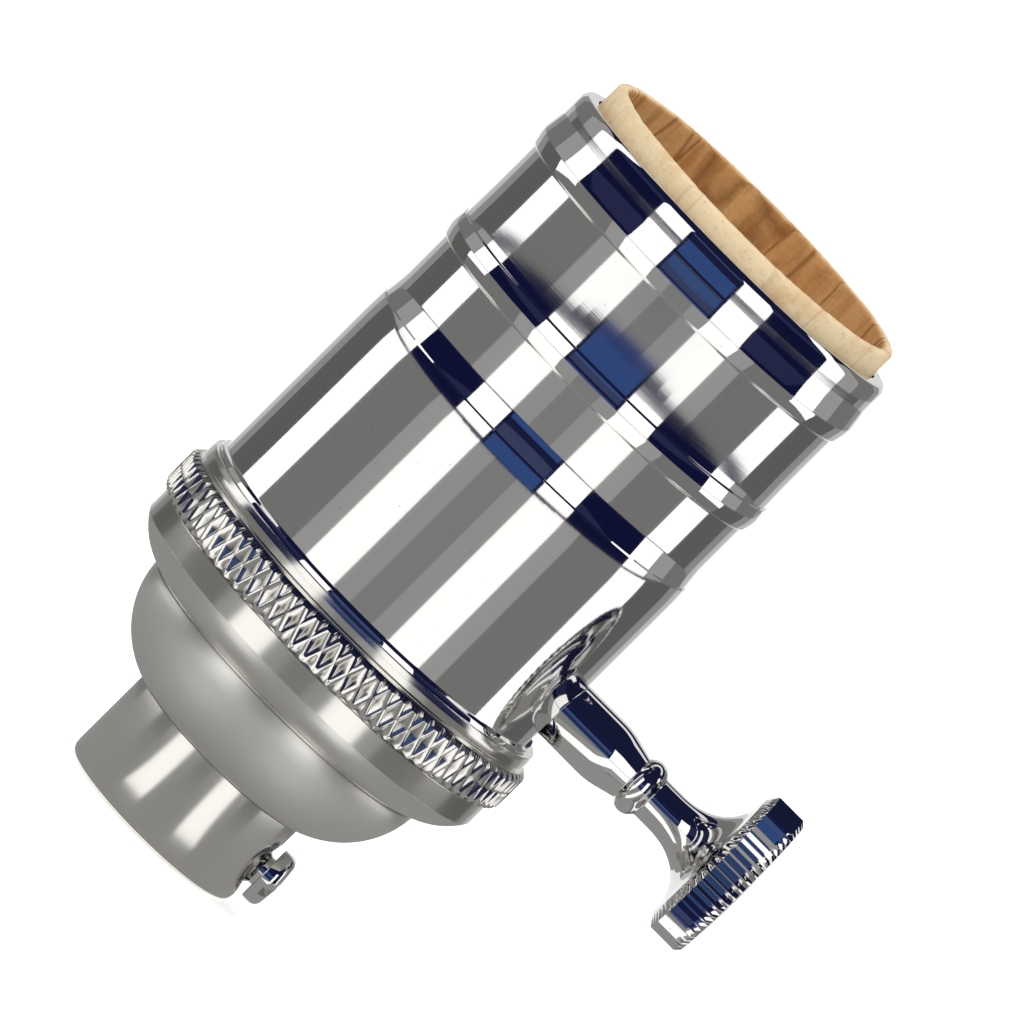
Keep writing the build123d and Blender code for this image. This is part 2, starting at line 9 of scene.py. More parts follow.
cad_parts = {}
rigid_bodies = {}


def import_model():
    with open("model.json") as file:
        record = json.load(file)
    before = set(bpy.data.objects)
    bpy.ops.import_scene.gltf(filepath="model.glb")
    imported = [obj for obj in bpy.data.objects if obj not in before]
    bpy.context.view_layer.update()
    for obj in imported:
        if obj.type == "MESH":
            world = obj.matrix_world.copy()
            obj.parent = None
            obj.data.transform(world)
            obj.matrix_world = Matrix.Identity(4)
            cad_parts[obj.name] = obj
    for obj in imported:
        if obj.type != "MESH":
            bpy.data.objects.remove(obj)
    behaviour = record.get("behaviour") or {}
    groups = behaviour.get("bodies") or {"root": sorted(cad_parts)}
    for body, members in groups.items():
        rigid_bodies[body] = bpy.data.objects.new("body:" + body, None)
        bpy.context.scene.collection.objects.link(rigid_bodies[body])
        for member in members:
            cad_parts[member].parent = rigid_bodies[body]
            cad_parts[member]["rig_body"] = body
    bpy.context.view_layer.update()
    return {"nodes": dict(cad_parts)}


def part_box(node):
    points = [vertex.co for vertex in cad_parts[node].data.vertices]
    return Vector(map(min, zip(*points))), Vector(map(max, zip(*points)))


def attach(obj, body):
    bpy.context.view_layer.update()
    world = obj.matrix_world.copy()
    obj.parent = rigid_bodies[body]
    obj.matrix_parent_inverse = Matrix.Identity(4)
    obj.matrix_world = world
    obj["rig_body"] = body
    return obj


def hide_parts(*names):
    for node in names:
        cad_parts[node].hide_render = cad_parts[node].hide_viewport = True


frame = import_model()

bl_info = {
    "name": "Rotary knob lamp socket",
    "version": (1, 0, 0),
    "blender": (4, 5, 0),
    "location": "View3D > Sidebar > Lamp socket",
    "description": "Builds and finishes the visible pieces of a nickel-plated lamp socket on its frame",
    "category": "Object",
}

MM = 0.001
WELD = 0.002 * MM

# Places that come from the frame
SHAFT_Z = sum(corner.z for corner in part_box("knob_shaft")) / 2
SCREW_Z = sum(corner.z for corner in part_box("set_screw")) / 2
CAP_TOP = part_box("cap")[1].z
SHELL_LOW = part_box("outer_shell")[0].z
SHELL_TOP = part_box("outer_shell")[1].z
LINER_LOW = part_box("insulating_liner")[0].z
LINER_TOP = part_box("insulating_liner")[1].z
COVER_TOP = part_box("switch_cover")[1].z
THREAD_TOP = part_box("screw_shell")[1].z
UPRIGHT = Matrix.Identity(4)
ALONG_X = Matrix.Rotation(pi / 2, 4, "Y")


def length(title, millimetres, text):
    """Property that holds a length of the object."""
    return FloatProperty(name=title, description=text, default=millimetres * MM, unit="LENGTH", precision=5)


def angle(title, degrees, text):
    """Property that holds an angle of the object or of the stage."""
    return FloatProperty(name=title, description=text, default=radians(degrees), unit="ROTATION")


def amount(title, value, text):
    """Property that holds a plain number."""
    return FloatProperty(name=title, description=text, default=value, precision=3)


def colour(title, value, text):
    """Property that holds a colour as an sRGB hex value."""
    return StringProperty(name=title, description=text, default=value)


class SocketCapSizes(bpy.types.PropertyGroup):
    pipe_bore_r: length("Pipe bore radius", 4.75, "Root radius of the pipe thread in the neck")
    pipe_pitch: length("Pipe thread pitch", 0.94, "27 threads to the inch")
    pipe_depth: length("Pipe bore depth", 8.2, "How far the pipe screws in")
    neck_r: length("Neck radius", 8.8, "Outer radius of the neck")
    neck_h: length("Neck height", 8.65, "Where the dome starts")
    wall: length("Wall", 1.2, "Wall of the dome and the skirt")
    dome_r: length("Dome radius", 14.56, "Outer radius of the dome at its top")
    dome_foot_r: length("Dome foot radius", 9.43, "Where the dome starts beside the neck")
    dome_h: length("Dome height", 6.95, "Height of the dome's curve")
    dome_curve: length("Dome curve", 8.08, "Radius of the dome's curve")
    groove_h: length("Groove height", 0.5, "Recess between dome and skirt")
    skirt_r: length("Skirt radius", 18.06, "Outer radius of the skirt")
    skirt_h: length("Skirt height", 4.7, "Height of the skirt below the knurl")
    skirt_foot_r: length("Skirt foot radius", 14.9, "Where the skirt's lower curve meets the groove")
    skirt_curve: length("Skirt curve", 5.6, "Radius of the skirt's lower curve")
    skirt_curve_h: length("Skirt curve height", 2.55, "Height of the skirt's lower curve")
    band_h: length("Knurl height", 3.8, "Height of the diamond knurl")
    band_root_r: length("Knurl root radius", 18.22, "Radius at the bottom of the knurl's pits")
    band_tip_r: length("Knurl tip radius", 18.72, "Radius of the knurl's ridges")
    band_notch: length("Knurl notch", 0.15, "How far the knurl's lower edge rises between two ridges")
    band_count: IntProperty(name="Knurl count", description="Ridges of one hand round the band", default=86)
    rim_r: length("Rim radius", 17.98, "Outer radius of the smooth rim")
    undercut_h: length("Undercut height", 0.3, "Gap between the knurl and the rim")
    rim_taper_h: length("Rim taper", 0.5, "Height over which the rim's upper edge leans in")
    edge: length("Edge", 0.12, "Rounding that polishing leaves on the turned edges")
    screw_hole_r: length("Set screw hole radius", 1.8, "Radius of the hole in the neck")
    spot_face_r: length("Spot face radius", 2.8, "Radius of the flat round the hole")
    spot_face_depth: length("Spot face depth", 0.35, "How deep the flat is cut")


class SocketScrewSizes(bpy.types.PropertyGroup):
    shank_r: length("Shank radius", 1.75, "Outer radius of the thread")
    pitch: length("Pitch", 0.79, "32 threads to the inch")
    head_r: length("Head radius", 2.55, "Radius of the head")
    head_edge: length("Head edge", 0.75, "Rounding of the head's outer edge")
    head_h: length("Head height", 1.7, "Height of the head")
    slot_w: length("Slot width", 0.8, "Width of the driver slot")
    slot_depth: length("Slot depth", 0.9, "Depth of the driver slot")


class SocketShellSizes(bpy.types.PropertyGroup):
    wall: length("Wall", 0.5, "Sheet thickness of the drawn shell")
    spigot_r: length("Spigot radius", 16.48, "Outer radius of the part inside the cap")
    foot_r: length("Foot radius", 17.56, "Radius of the foot where it meets the cap's rim")
    foot_top_r: length("Foot top radius", 17.46, "Radius of the foot at its upper edge")
    foot_h: length("Foot height", 0.55, "Height of the foot above the cap's rim")
    body_r: length("Body radius", 17.08, "Radius of the main wall")
    step_z: length("Step height", 44.3, "Where the wall steps in")
    step_r: length("Step radius", 17.0, "Radius of the main wall's rolled-in end")
    step_lead: length("Step lead", 1.15, "Height over which the main wall rolls in")
    roll_r: length("Roll radius", 16.9, "Radius of the roll above the step")
    roll_h: length("Roll height", 1.92, "Height of the roll")
    waist_r: length("Waist radius", 16.69, "Radius between the step and the middle bead")
    middle_z: length("Middle bead", 51.0, "Lower edge of the middle bead")
    middle_low_r: length("Middle bead foot", 16.93, "Radius where the middle bead's lower side starts")
    middle_r: length("Middle bead radius", 17.15, "Crest of the middle bead")
    middle_top_r: length("Middle bead top", 17.0, "Radius at the top of the middle bead")
    middle_crest: length("Middle bead crest", 1.15, "Height of the crest above the bead's lower edge")
    middle_h: length("Middle bead height", 2.4, "Height of the middle bead")
    flare_r: length("Flare radius", 16.84, "Radius above the middle bead, where the wall flares")
    flare_h: length("Flare height", 2.8, "Height over which the wall flares")
    upper_r: length("Upper waist radius", 16.76, "Radius between the beads")
    mouth_z: length("Mouth bead", 61.12, "Lower edge of the mouth bead")
    mouth_low_r: length("Mouth bead foot", 17.0, "Radius where the mouth bead's lower side starts")
    mouth_r: length("Mouth bead radius", 17.24, "Crest of the mouth bead")
    mouth_crest: length("Mouth bead crest", 1.33, "Height of the crest above the bead's lower edge")
    ring_z: length("Mouth ring", 64.5, "Where the mouth bead runs into the ring")
    ring_r: length("Mouth ring radius", 16.945, "Radius of the ring above the mouth bead")
    ring_top_r: length("Mouth ring top radius", 16.875, "Radius of the ring where it turns in")
    lip_r: length("Lip radius", 15.5, "Inner radius of the turned-in lip")
    slot_w: length("Key slot width", 6.6, "Width of the slot for the knob's stem")
    slot_roll_r: length("Key slot edge", 0.25, "Radius of the slot's rounded edge")


class SocketLinerSizes(bpy.types.PropertyGroup):
    radius: length("Radius", 15.36, "Outer radius of the fibre tube")
    wall: length("Wall", 1.06, "Thickness of the fibre")
    edge: length("Edge", 0.42, "Rounding of the cut edge")
    wrinkle: length("Wrinkle", 0.1, "Depth of the pressed wrinkles")
    rim_wave: length("Rim wave", 0.16, "How far the cut edge dips")
    rim_lean: length("Rim lean", 0.95, "How much lower the cut edge is at the front than at the back")


class SocketKnobSizes(bpy.types.PropertyGroup):
    start: length("Start", 15.75, "Inner end of the stem")
    bore_r: length("Bore radius", 1.62, "Radius of the spindle's hole")
    bore_end: length("Bore end", 22.5, "Depth of the spindle's hole")
    stem_r: length("Stem radius", 2.8, "Radius of the stem")
    stem_end: length("Stem end", 22.1, "Where the stem starts to taper")
    taper_r: length("Taper radius", 2.13, "Radius at the taper's end")
    bead_x: length("Bead place", 25.75, "Middle of the bead")
    bead_curve: length("Bead curve", 1.25, "Radius of the bead's curve")
    bead_half: length("Bead half width", 1.0, "Half of the bead's width")
    waist_r: length("Waist radius", 1.93, "Smallest radius of the trumpet")
    waist_end: length("Waist end", 28.3, "Where the trumpet opens")
    trumpet_r: length("Trumpet radius", 6.4, "Largest radius of the trumpet")
    trumpet_end: length("Trumpet end", 33.5, "Where the trumpet meets the disc")
    disc_r: length("Disc radius", 7.35, "Outer radius over the ribs")
    disc_start: length("Disc start", 33.8, "Inner face of the disc")
    disc_end: length("Disc end", 37.6, "Highest point of the disc's face")
    disc_edge: length("Disc edge", 0.4, "Chamfer of the ribs' ends")
    crown: length("Crown", 0.4, "How far the disc's face is domed")
    rib_count: IntProperty(name="Ribs", description="Ribs round the disc", default=58)
    rib_depth: length("Rib depth", 0.38, "Depth of the grooves between the ribs")


class SocketThreadSizes(bpy.types.PropertyGroup):
    major_r: length("Major radius", 13.48, "Inner radius at the thread's crests")
    minor_r: length("Minor radius", 12.4, "Inner radius at the thread's roots")
    sheet: length("Sheet", 0.38, "Thickness of the rolled sheet")
    pitch: length("Pitch", 3.629, "7 threads to the inch")
    hole_r: length("Floor hole radius", 9.0, "Radius of the hole in the floor")
    lead: length("Lead-in", 3.4, "Height of the first crest above the floor")
    turns: amount("Turns", 4.75, "Turns of the thread")


class SocketFinishes(bpy.types.PropertyGroup):
    nickel: colour("Polished nickel", "E1E0DE", "Bright nickel plate on the shell and the knob")
    dust: colour("Dust", "8D8A86", "Specks of dust and pits in the bright plate")
    satin: colour("Turned nickel", "DDDBD5", "Nickel plate on the turned cap")
    # painted shade: this colour darkens the knurl's pits for the shade in them as well as for their tarnish
    tarnish: colour("Tarnish", "5E5A4C", "Dark plate in the knurl's pits")
    fibre: colour("Fibre", "EBD5AE", "Outside of the fibre liner")
    fibre_inside: colour("Fibre inside", "DDA86E", "Darker inside of the liner")
    fibre_stain: colour("Fibre stain", "DDB27C", "Darker mottling of the fibre")
    fibre_streak: colour("Fibre streak", "B57A42", "Brown streaks up the inside")
    fibre_fleck: colour("Fibre fleck", "B98F57", "Short fibres in the paper")
    # painted shade: this colour darkens the paper's creases for the shade that falls in them
    fibre_crease_shade: colour("Fibre seam", "8A5A2C", "Creases that run up the paper")
    phenolic: colour("Phenolic", "2A211C", "Moulded switch body")
    phenolic_flow: colour("Phenolic flow", "3E3028", "Paler flow marks of the moulding")
    brass: colour("Brass", "D2AE62", "Rolled brass")
    brass_dark: colour("Brass tarnish", "A87F3C", "Tarnished patches of the brass")
    tinned: colour("Tinned brass", "C9C8C2", "Tinned neutral terminal")
    tinned_dark: colour("Tin tarnish", "9E9C92", "Dull patches of the tin")
    bronze: colour("Bronze", "B9834F", "Spring strips")
    bronze_dark: colour("Bronze tarnish", "8A5C33", "Tarnished patches of the bronze")
    steel: colour("Zinc plate", "B4B8BC", "Zinc-plated spindle, clip and index spring")
    steel_dark: colour("Zinc tarnish", "8C9094", "Dull patches of the zinc plate")
    shell_roughness: amount("Wall roughness", 0.045, "Roughness of the shell's straight walls")
    bead_roughness: amount("Bead roughness", 0.015, "Roughness of the shell's beads")
    buffed_roughness: amount("Buffed roughness", 0.12, "Roughness of the cap's neck, skirt and rim")
    satin_roughness: amount("Satin roughness", 0.6, "Roughness of the cap's dome")


class SocketStage(bpy.types.PropertyGroup):
    azimuth: angle("Azimuth", 0.0, "Camera direction round the socket")
    elevation: angle("Elevation", 6.9, "Camera direction above the floor")
    roll: angle("Roll", 45.19, "How far the camera is rolled")
    distance: FloatProperty(name="Distance", description="Camera distance", default=0.9, unit="LENGTH")
    target_x: length("Target across", 2.79, "Where the camera looks, to its right")
    target_z: length("Target height", 38.78, "Where the camera looks, above the floor")
    lens: FloatProperty(name="Lens", description="Focal length in millimetres", default=395.1)
    floor_half: FloatProperty(name="Floor", description="Half width of the floor", default=4.0, unit="LENGTH")
    floor_tone: colour("Floor tone", "F4F4F2", "Colour of the floor")


def linear(hex_value, alpha=True):
    """Linear colour of an sRGB hex value."""
    channels = [int(hex_value[i:i + 2], 16) / 255 for i in (0, 2, 4)]
    light = [c / 12.92 if c <= 0.04045 else ((c + 0.055) / 1.055) ** 2.4 for c in channels]
    return (*light, 1.0) if alpha else tuple(light)


def arc(start, end, radius, steps=10):
    """Points of an arc; a positive radius bulges to the right of the way from start to end."""
    a = Vector(start)
    half = (Vector(end) - a) / 2
    side = Vector((-half.y, half.x)).normalized()
    sign = 1 if radius > 0 else -1
    centre = a + half + side * sign * sqrt(max(radius ** 2 - half.length_squared, 0))
    first = atan2(a.y - centre.y, a.x - centre.x)
    turn = 2 * asin(min(half.length / abs(radius), 1)) * sign
    angles = [first + turn * i / steps for i in range(steps + 1)]
    return [(centre.x + abs(radius) * cos(t), centre.y + abs(radius) * sin(t)) for t in angles]


def rounded(corners, steps=5):
    """Outline of the closed row of corners; a third number in a corner is the radius of its fillet."""
    points = []
    for before, here, after in zip(corners[-1:] + corners[:-1], corners, corners[1:] + corners[:1]):
        p = Vector(here[:2])
        if len(here) < 3:
            points.append(tuple(p))
            continue
        u = (Vector(before[:2]) - p).normalized()
        v = (Vector(after[:2]) - p).normalized()
        reach = here[2] / tan(u.angle(v) / 2)
        left = u.x * v.y - u.y * v.x < 0
        points += arc(p + u * reach, p + v * reach, here[2] if left else -here[2], steps)
    return points


def only(piece):
    """Leaves this piece alone selected and active."""
    bpy.ops.object.select_all(action="DESELECT")
    piece.select_set(True)
    bpy.context.view_layer.objects.active = piece


def settle(piece, place):
    """Puts the piece in its place and writes the place into its mesh."""
    only(piece)
    piece.matrix_world = place
    bpy.ops.object.transform_apply(location=True, rotation=True, scale=True)
    return piece


def lathe(name, outline, steps, place=UPRIGHT, sweep=2 * pi, closed=True):
    """Turned piece: the outline's points (radius, height) are extruded one by one and spun about Z."""
    bpy.ops.object.select_all(action="DESELECT")
    bpy.ops.mesh.primitive_plane_add(size=MM)
    piece = bpy.context.object
    piece.name = name
    bpy.ops.object.mode_set(mode="EDIT")
    bpy.ops.mesh.select_mode(type="VERT")
    bpy.ops.mesh.select_all(action="SELECT")
    bpy.ops.mesh.merge(type="CENTER")
    bpy.ops.transform.translate(value=(outline[0][0], 0, outline[0][1]))
    ends = outline[1:] + outline[:1] if closed else outline[1:]
    for (r0, z0), (r1, z1) in zip(outline, ends):
        bpy.ops.mesh.extrude_region_move(TRANSFORM_OT_translate={"value": (r1 - r0, 0, z1 - z0)})
    bpy.ops.mesh.select_all(action="SELECT")
    bpy.ops.mesh.spin(steps=steps, angle=sweep, center=(0, 0, 0), axis=(0, 0, 1))
    bpy.ops.mesh.select_all(action="SELECT")
    bpy.ops.mesh.remove_doubles(threshold=WELD)
    bpy.ops.mesh.normals_make_consistent(inside=False)
    bpy.ops.object.mode_set(mode="OBJECT")
    return settle(piece, place)


def reshape(piece, rule):
    """Moves the piece's vertices by a rule from their places to new ones, both as an array of points."""
    places = np.empty(len(piece.data.vertices) * 3)
    piece.data.vertices.foreach_get("co", places)
    piece.data.vertices.foreach_set("co", rule(places.reshape(-1, 3)).ravel())
    piece.data.update()


def cut(piece, cutter, operation="DIFFERENCE"):
    """Cuts the cutter out of the piece, or joins it on, and clears it away."""
    only(piece)
    bpy.ops.object.modifier_add(type="BOOLEAN")
    step = piece.modifiers[-1]
    step.operation = operation
    step.solver = "EXACT"
    step.object = cutter
    bpy.ops.object.modifier_apply(modifier=step.name)
    bpy.data.objects.remove(cutter)


def smooth(piece, degrees=32):
    """Smooth shading with the edges past this angle kept sharp; large faces keep their own direction."""
    only(piece)
    bpy.ops.object.shade_smooth_by_angle(angle=radians(degrees))
    bpy.ops.object.modifier_add(type="WEIGHTED_NORMAL")
    step = piece.modifiers[-1]
    step.mode = "FACE_AREA"
    step.keep_sharp = True
    bpy.ops.object.modifier_apply(modifier=step.name)


def stand_for(piece, node, material):
    """The finished piece takes the place of its node, on the same body, with the material it is given."""
    piece.data.materials.clear()
    piece.data.materials.append(material)
    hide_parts(node)
    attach(piece, frame["nodes"][node]["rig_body"])


def key_slot_cutter(width, far):
    """Slot for the knob's stem: round over the spindle and open downwards."""
    bpy.ops.object.select_all(action="DESELECT")
    bpy.ops.mesh.primitive_cylinder_add(
        vertices=96, radius=width / 2, depth=far, location=(far / 2, 0, SHAFT_Z), rotation=(0, pi / 2, 0)
    )
    cutter = bpy.context.object
    bpy.ops.object.transform_apply(location=True, rotation=True, scale=True)

    def lower(points):
        points[points[:, 2] < SHAFT_Z - WELD, 2] -= SHAFT_Z
        return points

    reshape(cutter, lower)
    return cutter


def zigzag(r_outer, r_inner, pitch, z0, z1):
    """Corners of thread rings between two heights, from the lower one up."""
    count = int((z1 - z0) / pitch)
    margin = (z1 - z0 - count * pitch) / 2
    corners = []
    for i in range(count):
        low = z0 + margin + i * pitch
        corners += [(r_outer, low), (r_inner, low + pitch * 0.45), (r_inner, low + pitch * 0.55)]
    return corners + [(r_outer, z0 + margin + count * pitch)]


def cap_outline(s):
    """Section of the cap without its knurl: neck, dome, groove, skirt, rim and the hollow inside."""
    dome_top = s.neck_h + s.dome_h
    skirt_z = dome_top + s.groove_h
    band_z = skirt_z + s.skirt_h
    band_top = band_z + s.band_h
    core_r = s.rim_r - 0.3 * MM
    bore_r = s.rim_r - s.wall - 0.2 * MM
    seat_z = skirt_z + s.wall
    bowl_r = s.dome_r - s.wall
    bowl_z = s.pipe_depth + s.wall
    bowl_foot = s.neck_r - s.wall
    inner = zigzag(s.pipe_bore_r, s.pipe_bore_r - 0.45 * MM, s.pipe_pitch, 0.4 * MM, s.pipe_depth)
    return rounded([
        (s.pipe_bore_r, 0, 0.15 * MM),
        (s.neck_r, 0, 0.9 * MM),
        (s.neck_r, s.neck_h - 0.22 * MM, 0.05 * MM),
        (s.neck_r - 0.16 * MM, s.neck_h - 0.14 * MM),
        (s.neck_r - 0.16 * MM, s.neck_h),
        *arc((s.dome_foot_r, s.neck_h + 0.01 * MM), (s.dome_r, dome_top), s.dome_curve, 28),
        (s.dome_r, dome_top + s.groove_h * 0.4, 0.08 * MM),
        (s.dome_r - 0.25 * MM, dome_top + s.groove_h * 0.5),
        (s.dome_r - 0.25 * MM, skirt_z),
        *arc((s.skirt_foot_r, skirt_z), (s.skirt_r, skirt_z + s.skirt_curve_h), s.skirt_curve, 16),
        (s.skirt_r, band_z, s.edge),
        (core_r, band_z),
        (core_r, band_top + s.undercut_h * 0.4),
        (s.rim_r, band_top + s.undercut_h, s.edge),
        (s.rim_r, CAP_TOP - s.rim_taper_h, 1.5 * MM),
        (s.rim_r - 0.09 * MM, CAP_TOP, 0.12 * MM),
        (bore_r, CAP_TOP, s.edge),
        (bore_r, seat_z + s.wall * 0.4, s.edge),
        (bore_r - 0.5 * MM, seat_z),
        (bowl_r, seat_z, s.edge),
        *arc((bowl_r, dome_top), (bowl_foot, bowl_z), -s.dome_h, 16),
        (s.pipe_bore_r, bowl_z, s.edge),
        *reversed(inner),
    ])


def knurl_ring(s):
    """Diamond knurl: ridges of both hands cross on a ring and leave a diamond pit between each four."""
    parts = 8
    gap = 0.05 * MM
    # a ridge is flat where crest - flank * distance is over 1, and falls straight to the pit beside it
    crest = 1.13
    flank = 2.15
    band_z = s.neck_h + s.dome_h + s.groove_h + s.skirt_h + gap
    high = s.band_h - 2 * gap
    inner_r = s.rim_r - 0.6 * MM
    outline = [(s.band_tip_r, band_z + high * k / parts) for k in range(parts + 1)]
    ring = lathe("knurl", [(inner_r, band_z), *outline, (inner_r, band_z + high)], s.band_count * parts)

    # the ridges run along the faces' diagonals, so each outer face is split along both
    only(ring)
    bpy.ops.object.mode_set(mode="EDIT")
    bpy.ops.mesh.select_mode(type="FACE")
    bpy.ops.mesh.select_all(action="DESELECT")
    bpy.ops.object.mode_set(mode="OBJECT")
    for face in ring.data.polygons:
        face.select = Vector(face.center[:2]).length > s.band_tip_r - 0.05 * MM
    bpy.ops.object.mode_set(mode="EDIT")
    bpy.ops.mesh.poke()
    bpy.ops.object.mode_set(mode="OBJECT")

    def press(points):
        r = np.hypot(points[:, 0], points[:, 1])
        u = np.arctan2(points[:, 1], points[:, 0]) * s.band_count / (2 * pi)
        v = (points[:, 2] - band_z) / high
        off = np.minimum(np.abs(u + v - np.round(u + v)), np.abs(u - v - np.round(u - v)))
        ridge = np.clip(crest - flank * off, 0, 1)
        tall = s.band_tip_r - s.band_root_r
        lower = 0.5 + 0.5 * np.clip(v * parts, 0, 1)
        upper = s.band_root_r + tall * np.clip((1 - v) * parts, 0, 1)
        wanted = np.minimum(s.band_root_r + tall * ridge * lower, upper)
        outer = r > inner_r + 0.1 * MM
        new = np.where(outer, wanted, r)
        points[:, :2] *= (new / r)[:, None]
        apart = 2 * np.abs(u - np.round(u))
        points[:, 2] += np.where(outer, s.band_notch * apart * np.clip(1 - v * parts, 0, 1), 0)
        return points

    reshape(ring, press)
    return ring


def make_cap(s, material):
    """Turned cap with its knurl, the pipe thread and the set screw's spot-faced hole."""
    cap = lathe("cap_turned", cap_outline(s), 256)
    along = Matrix.Translation((0, 0, SCREW_Z)) @ ALONG_X
    hole = lathe("hole", [(0, 0), (s.screw_hole_r, 0), (s.screw_hole_r, s.neck_r), (0, s.neck_r)], 64, along)
    low = s.neck_r - s.spot_face_depth
    high = s.neck_r + 2 * MM
    face = lathe("face", [(0, low), (s.spot_face_r, low), (s.spot_face_r, high), (0, high)], 96, along)
    cut(cap, hole)
    cut(cap, face)
    ring = knurl_ring(s)
    bpy.ops.object.select_all(action="DESELECT")
    ring.select_set(True)
    cap.select_set(True)
    bpy.context.view_layer.objects.active = cap
    bpy.ops.object.join()
    smooth(cap, 28)
    stand_for(cap, "cap", material)


def make_set_screw(s, material):
    """Slotted set screw: rounded head, a little thread showing, and the slot turned as it was left."""
    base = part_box("set_screw")[0].x
    head_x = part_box("set_screw")[1].x - s.head_h
    root_r = s.shank_r - 0.35 * MM
    thread = zigzag(root_r, s.shank_r - 0.02 * MM, s.pitch, base + 0.3 * MM, head_x)
    outline = rounded([
        (0, base),
        (root_r, base, 0.2 * MM),
        *thread,
        (root_r, head_x),
        (s.head_r, head_x, 0.12 * MM),
        (s.head_r, head_x + s.head_h - 0.25 * MM, s.head_edge),
        (0, head_x + s.head_h - 0.001 * MM),
    ])
    along = Matrix.Translation((0, 0, SCREW_Z)) @ ALONG_X
    screw = lathe("set_screw_turned", outline, 96, along)
    bpy.ops.object.select_all(action="DESELECT")
    bpy.ops.mesh.primitive_cube_add(size=1)
    slot = bpy.context.object
    slot.scale = (2 * s.slot_depth, 3 * s.head_r, s.slot_w)
    bpy.ops.object.transform_apply(location=True, rotation=True, scale=True)
    settle(slot, Matrix.Translation((head_x + s.head_h, 0, SCREW_Z)) @ Matrix.Rotation(radians(20), 4, "X"))
    cut(screw, slot)
    smooth(screw, 30)
    stand_for(screw, "set_screw", material)


def shell_wall(s, inset):
    """Corners of the drawn wall from the foot to the mouth ring, moved inwards by the inset."""
    crisp = 0.1 * MM
    foot_top = CAP_TOP + s.foot_h
    middle_top = s.middle_z + s.middle_h
    corners = [
        (s.foot_r, CAP_TOP - 0.1 * MM, crisp),
        (s.foot_top_r, foot_top - 0.16 * MM, 0.12 * MM),
        (s.body_r, foot_top, 0.12 * MM),
        (s.body_r, s.step_z - s.step_lead, 30 * MM),
        (s.step_r, s.step_z, 0.1 * MM),
        (s.roll_r, s.step_z + 0.15 * MM, 0.1 * MM),
        (s.waist_r, s.step_z + s.roll_h, 9 * MM),
        (s.waist_r, s.middle_z, crisp),
        (s.middle_low_r, s.middle_z + 0.12 * MM, 0.25 * MM),
        (s.middle_r, s.middle_z + s.middle_crest, 2.5 * MM),
        (s.middle_top_r, middle_top, 0.08 * MM),
        (s.flare_r, middle_top + 0.15 * MM, 0.1 * MM),
        (s.upper_r, middle_top + s.flare_h, 125 * MM),
        (s.upper_r, s.mouth_z, crisp),
        (s.mouth_low_r, s.mouth_z + 0.14 * MM, 0.25 * MM),
        (s.mouth_r, s.mouth_z + s.mouth_crest, 2.5 * MM),
        (s.ring_r, s.ring_z, 5 * MM),
        (s.ring_r - 0.01 * MM, s.ring_z + 1.2 * MM, 10 * MM),
    ]
    return [(corner[0] - inset, *corner[1:]) for corner in corners]


def slot_roll(s):
    """Rounded edge that the punch leaves round the key slot, laid on the curve of the wall."""
    middle_r = s.body_r - s.wall / 2
    half = s.slot_w / 2 - 0.03 * MM
    foot_z = CAP_TOP + 0.3 * MM
    bend = [(half * cos(pi * i / 24), SHAFT_Z + half * sin(pi * i / 24)) for i in range(25)]
    flat = [(half, foot_z), *bend, (-half, foot_z)]
    bpy.ops.object.select_all(action="DESELECT")
    bpy.ops.curve.primitive_bezier_curve_add()
    path = bpy.context.object
    path.name = "slot_roll"
    path.data.splines.clear()
    line = path.data.splines.new("POLY")
    line.points.add(len(flat) - 1)
    for point, (y, z) in zip(line.points, flat):
        point.co = (sqrt(middle_r ** 2 - y ** 2), y, z, 1)
    path.data.dimensions = "3D"
    path.data.bevel_depth = s.slot_roll_r
    path.data.bevel_resolution = 5
    path.data.use_fill_caps = True
    path.location = (0, 0, 0)
    bpy.ops.object.convert(target="MESH")
    return settle(path, UPRIGHT)


def make_outer_shell(s, material):
    """Drawn shell: spigot, foot, main wall, step, two beads, mouth ring and the turned-in lip."""
    bore_r = s.spigot_r - s.wall
    inside = [(r, z) for r, z, *_ in reversed(shell_wall(s, s.wall)[2:])]
    outline = rounded([
        (bore_r, SHELL_LOW),
        (s.spigot_r, SHELL_LOW, 0.1 * MM),
        (s.spigot_r, CAP_TOP - 0.1 * MM),
        *shell_wall(s, 0),
        (s.ring_top_r, SHELL_TOP - 0.5 * MM, 0.8 * MM),
        (s.ring_top_r - 0.275 * MM, SHELL_TOP - 0.05 * MM, 0.25 * MM),
        (s.lip_r, SHELL_TOP, 0.1 * MM),
        (s.lip_r, SHELL_TOP - s.wall, 0.1 * MM),
        (s.ring_top_r - s.wall, SHELL_TOP - s.wall, 0.2 * MM),
        *inside,
        (bore_r, CAP_TOP + s.foot_h),
    ])
    shell = lathe("outer_shell_drawn", outline, 320)
    cut(shell, key_slot_cutter(s.slot_w, 30 * MM))
    roll = slot_roll(s)
    bpy.ops.object.select_all(action="DESELECT")
    roll.select_set(True)
    shell.select_set(True)
    bpy.context.view_layer.objects.active = shell
    bpy.ops.object.join()
    smooth(shell, 34)
    stand_for(shell, "outer_shell", material)


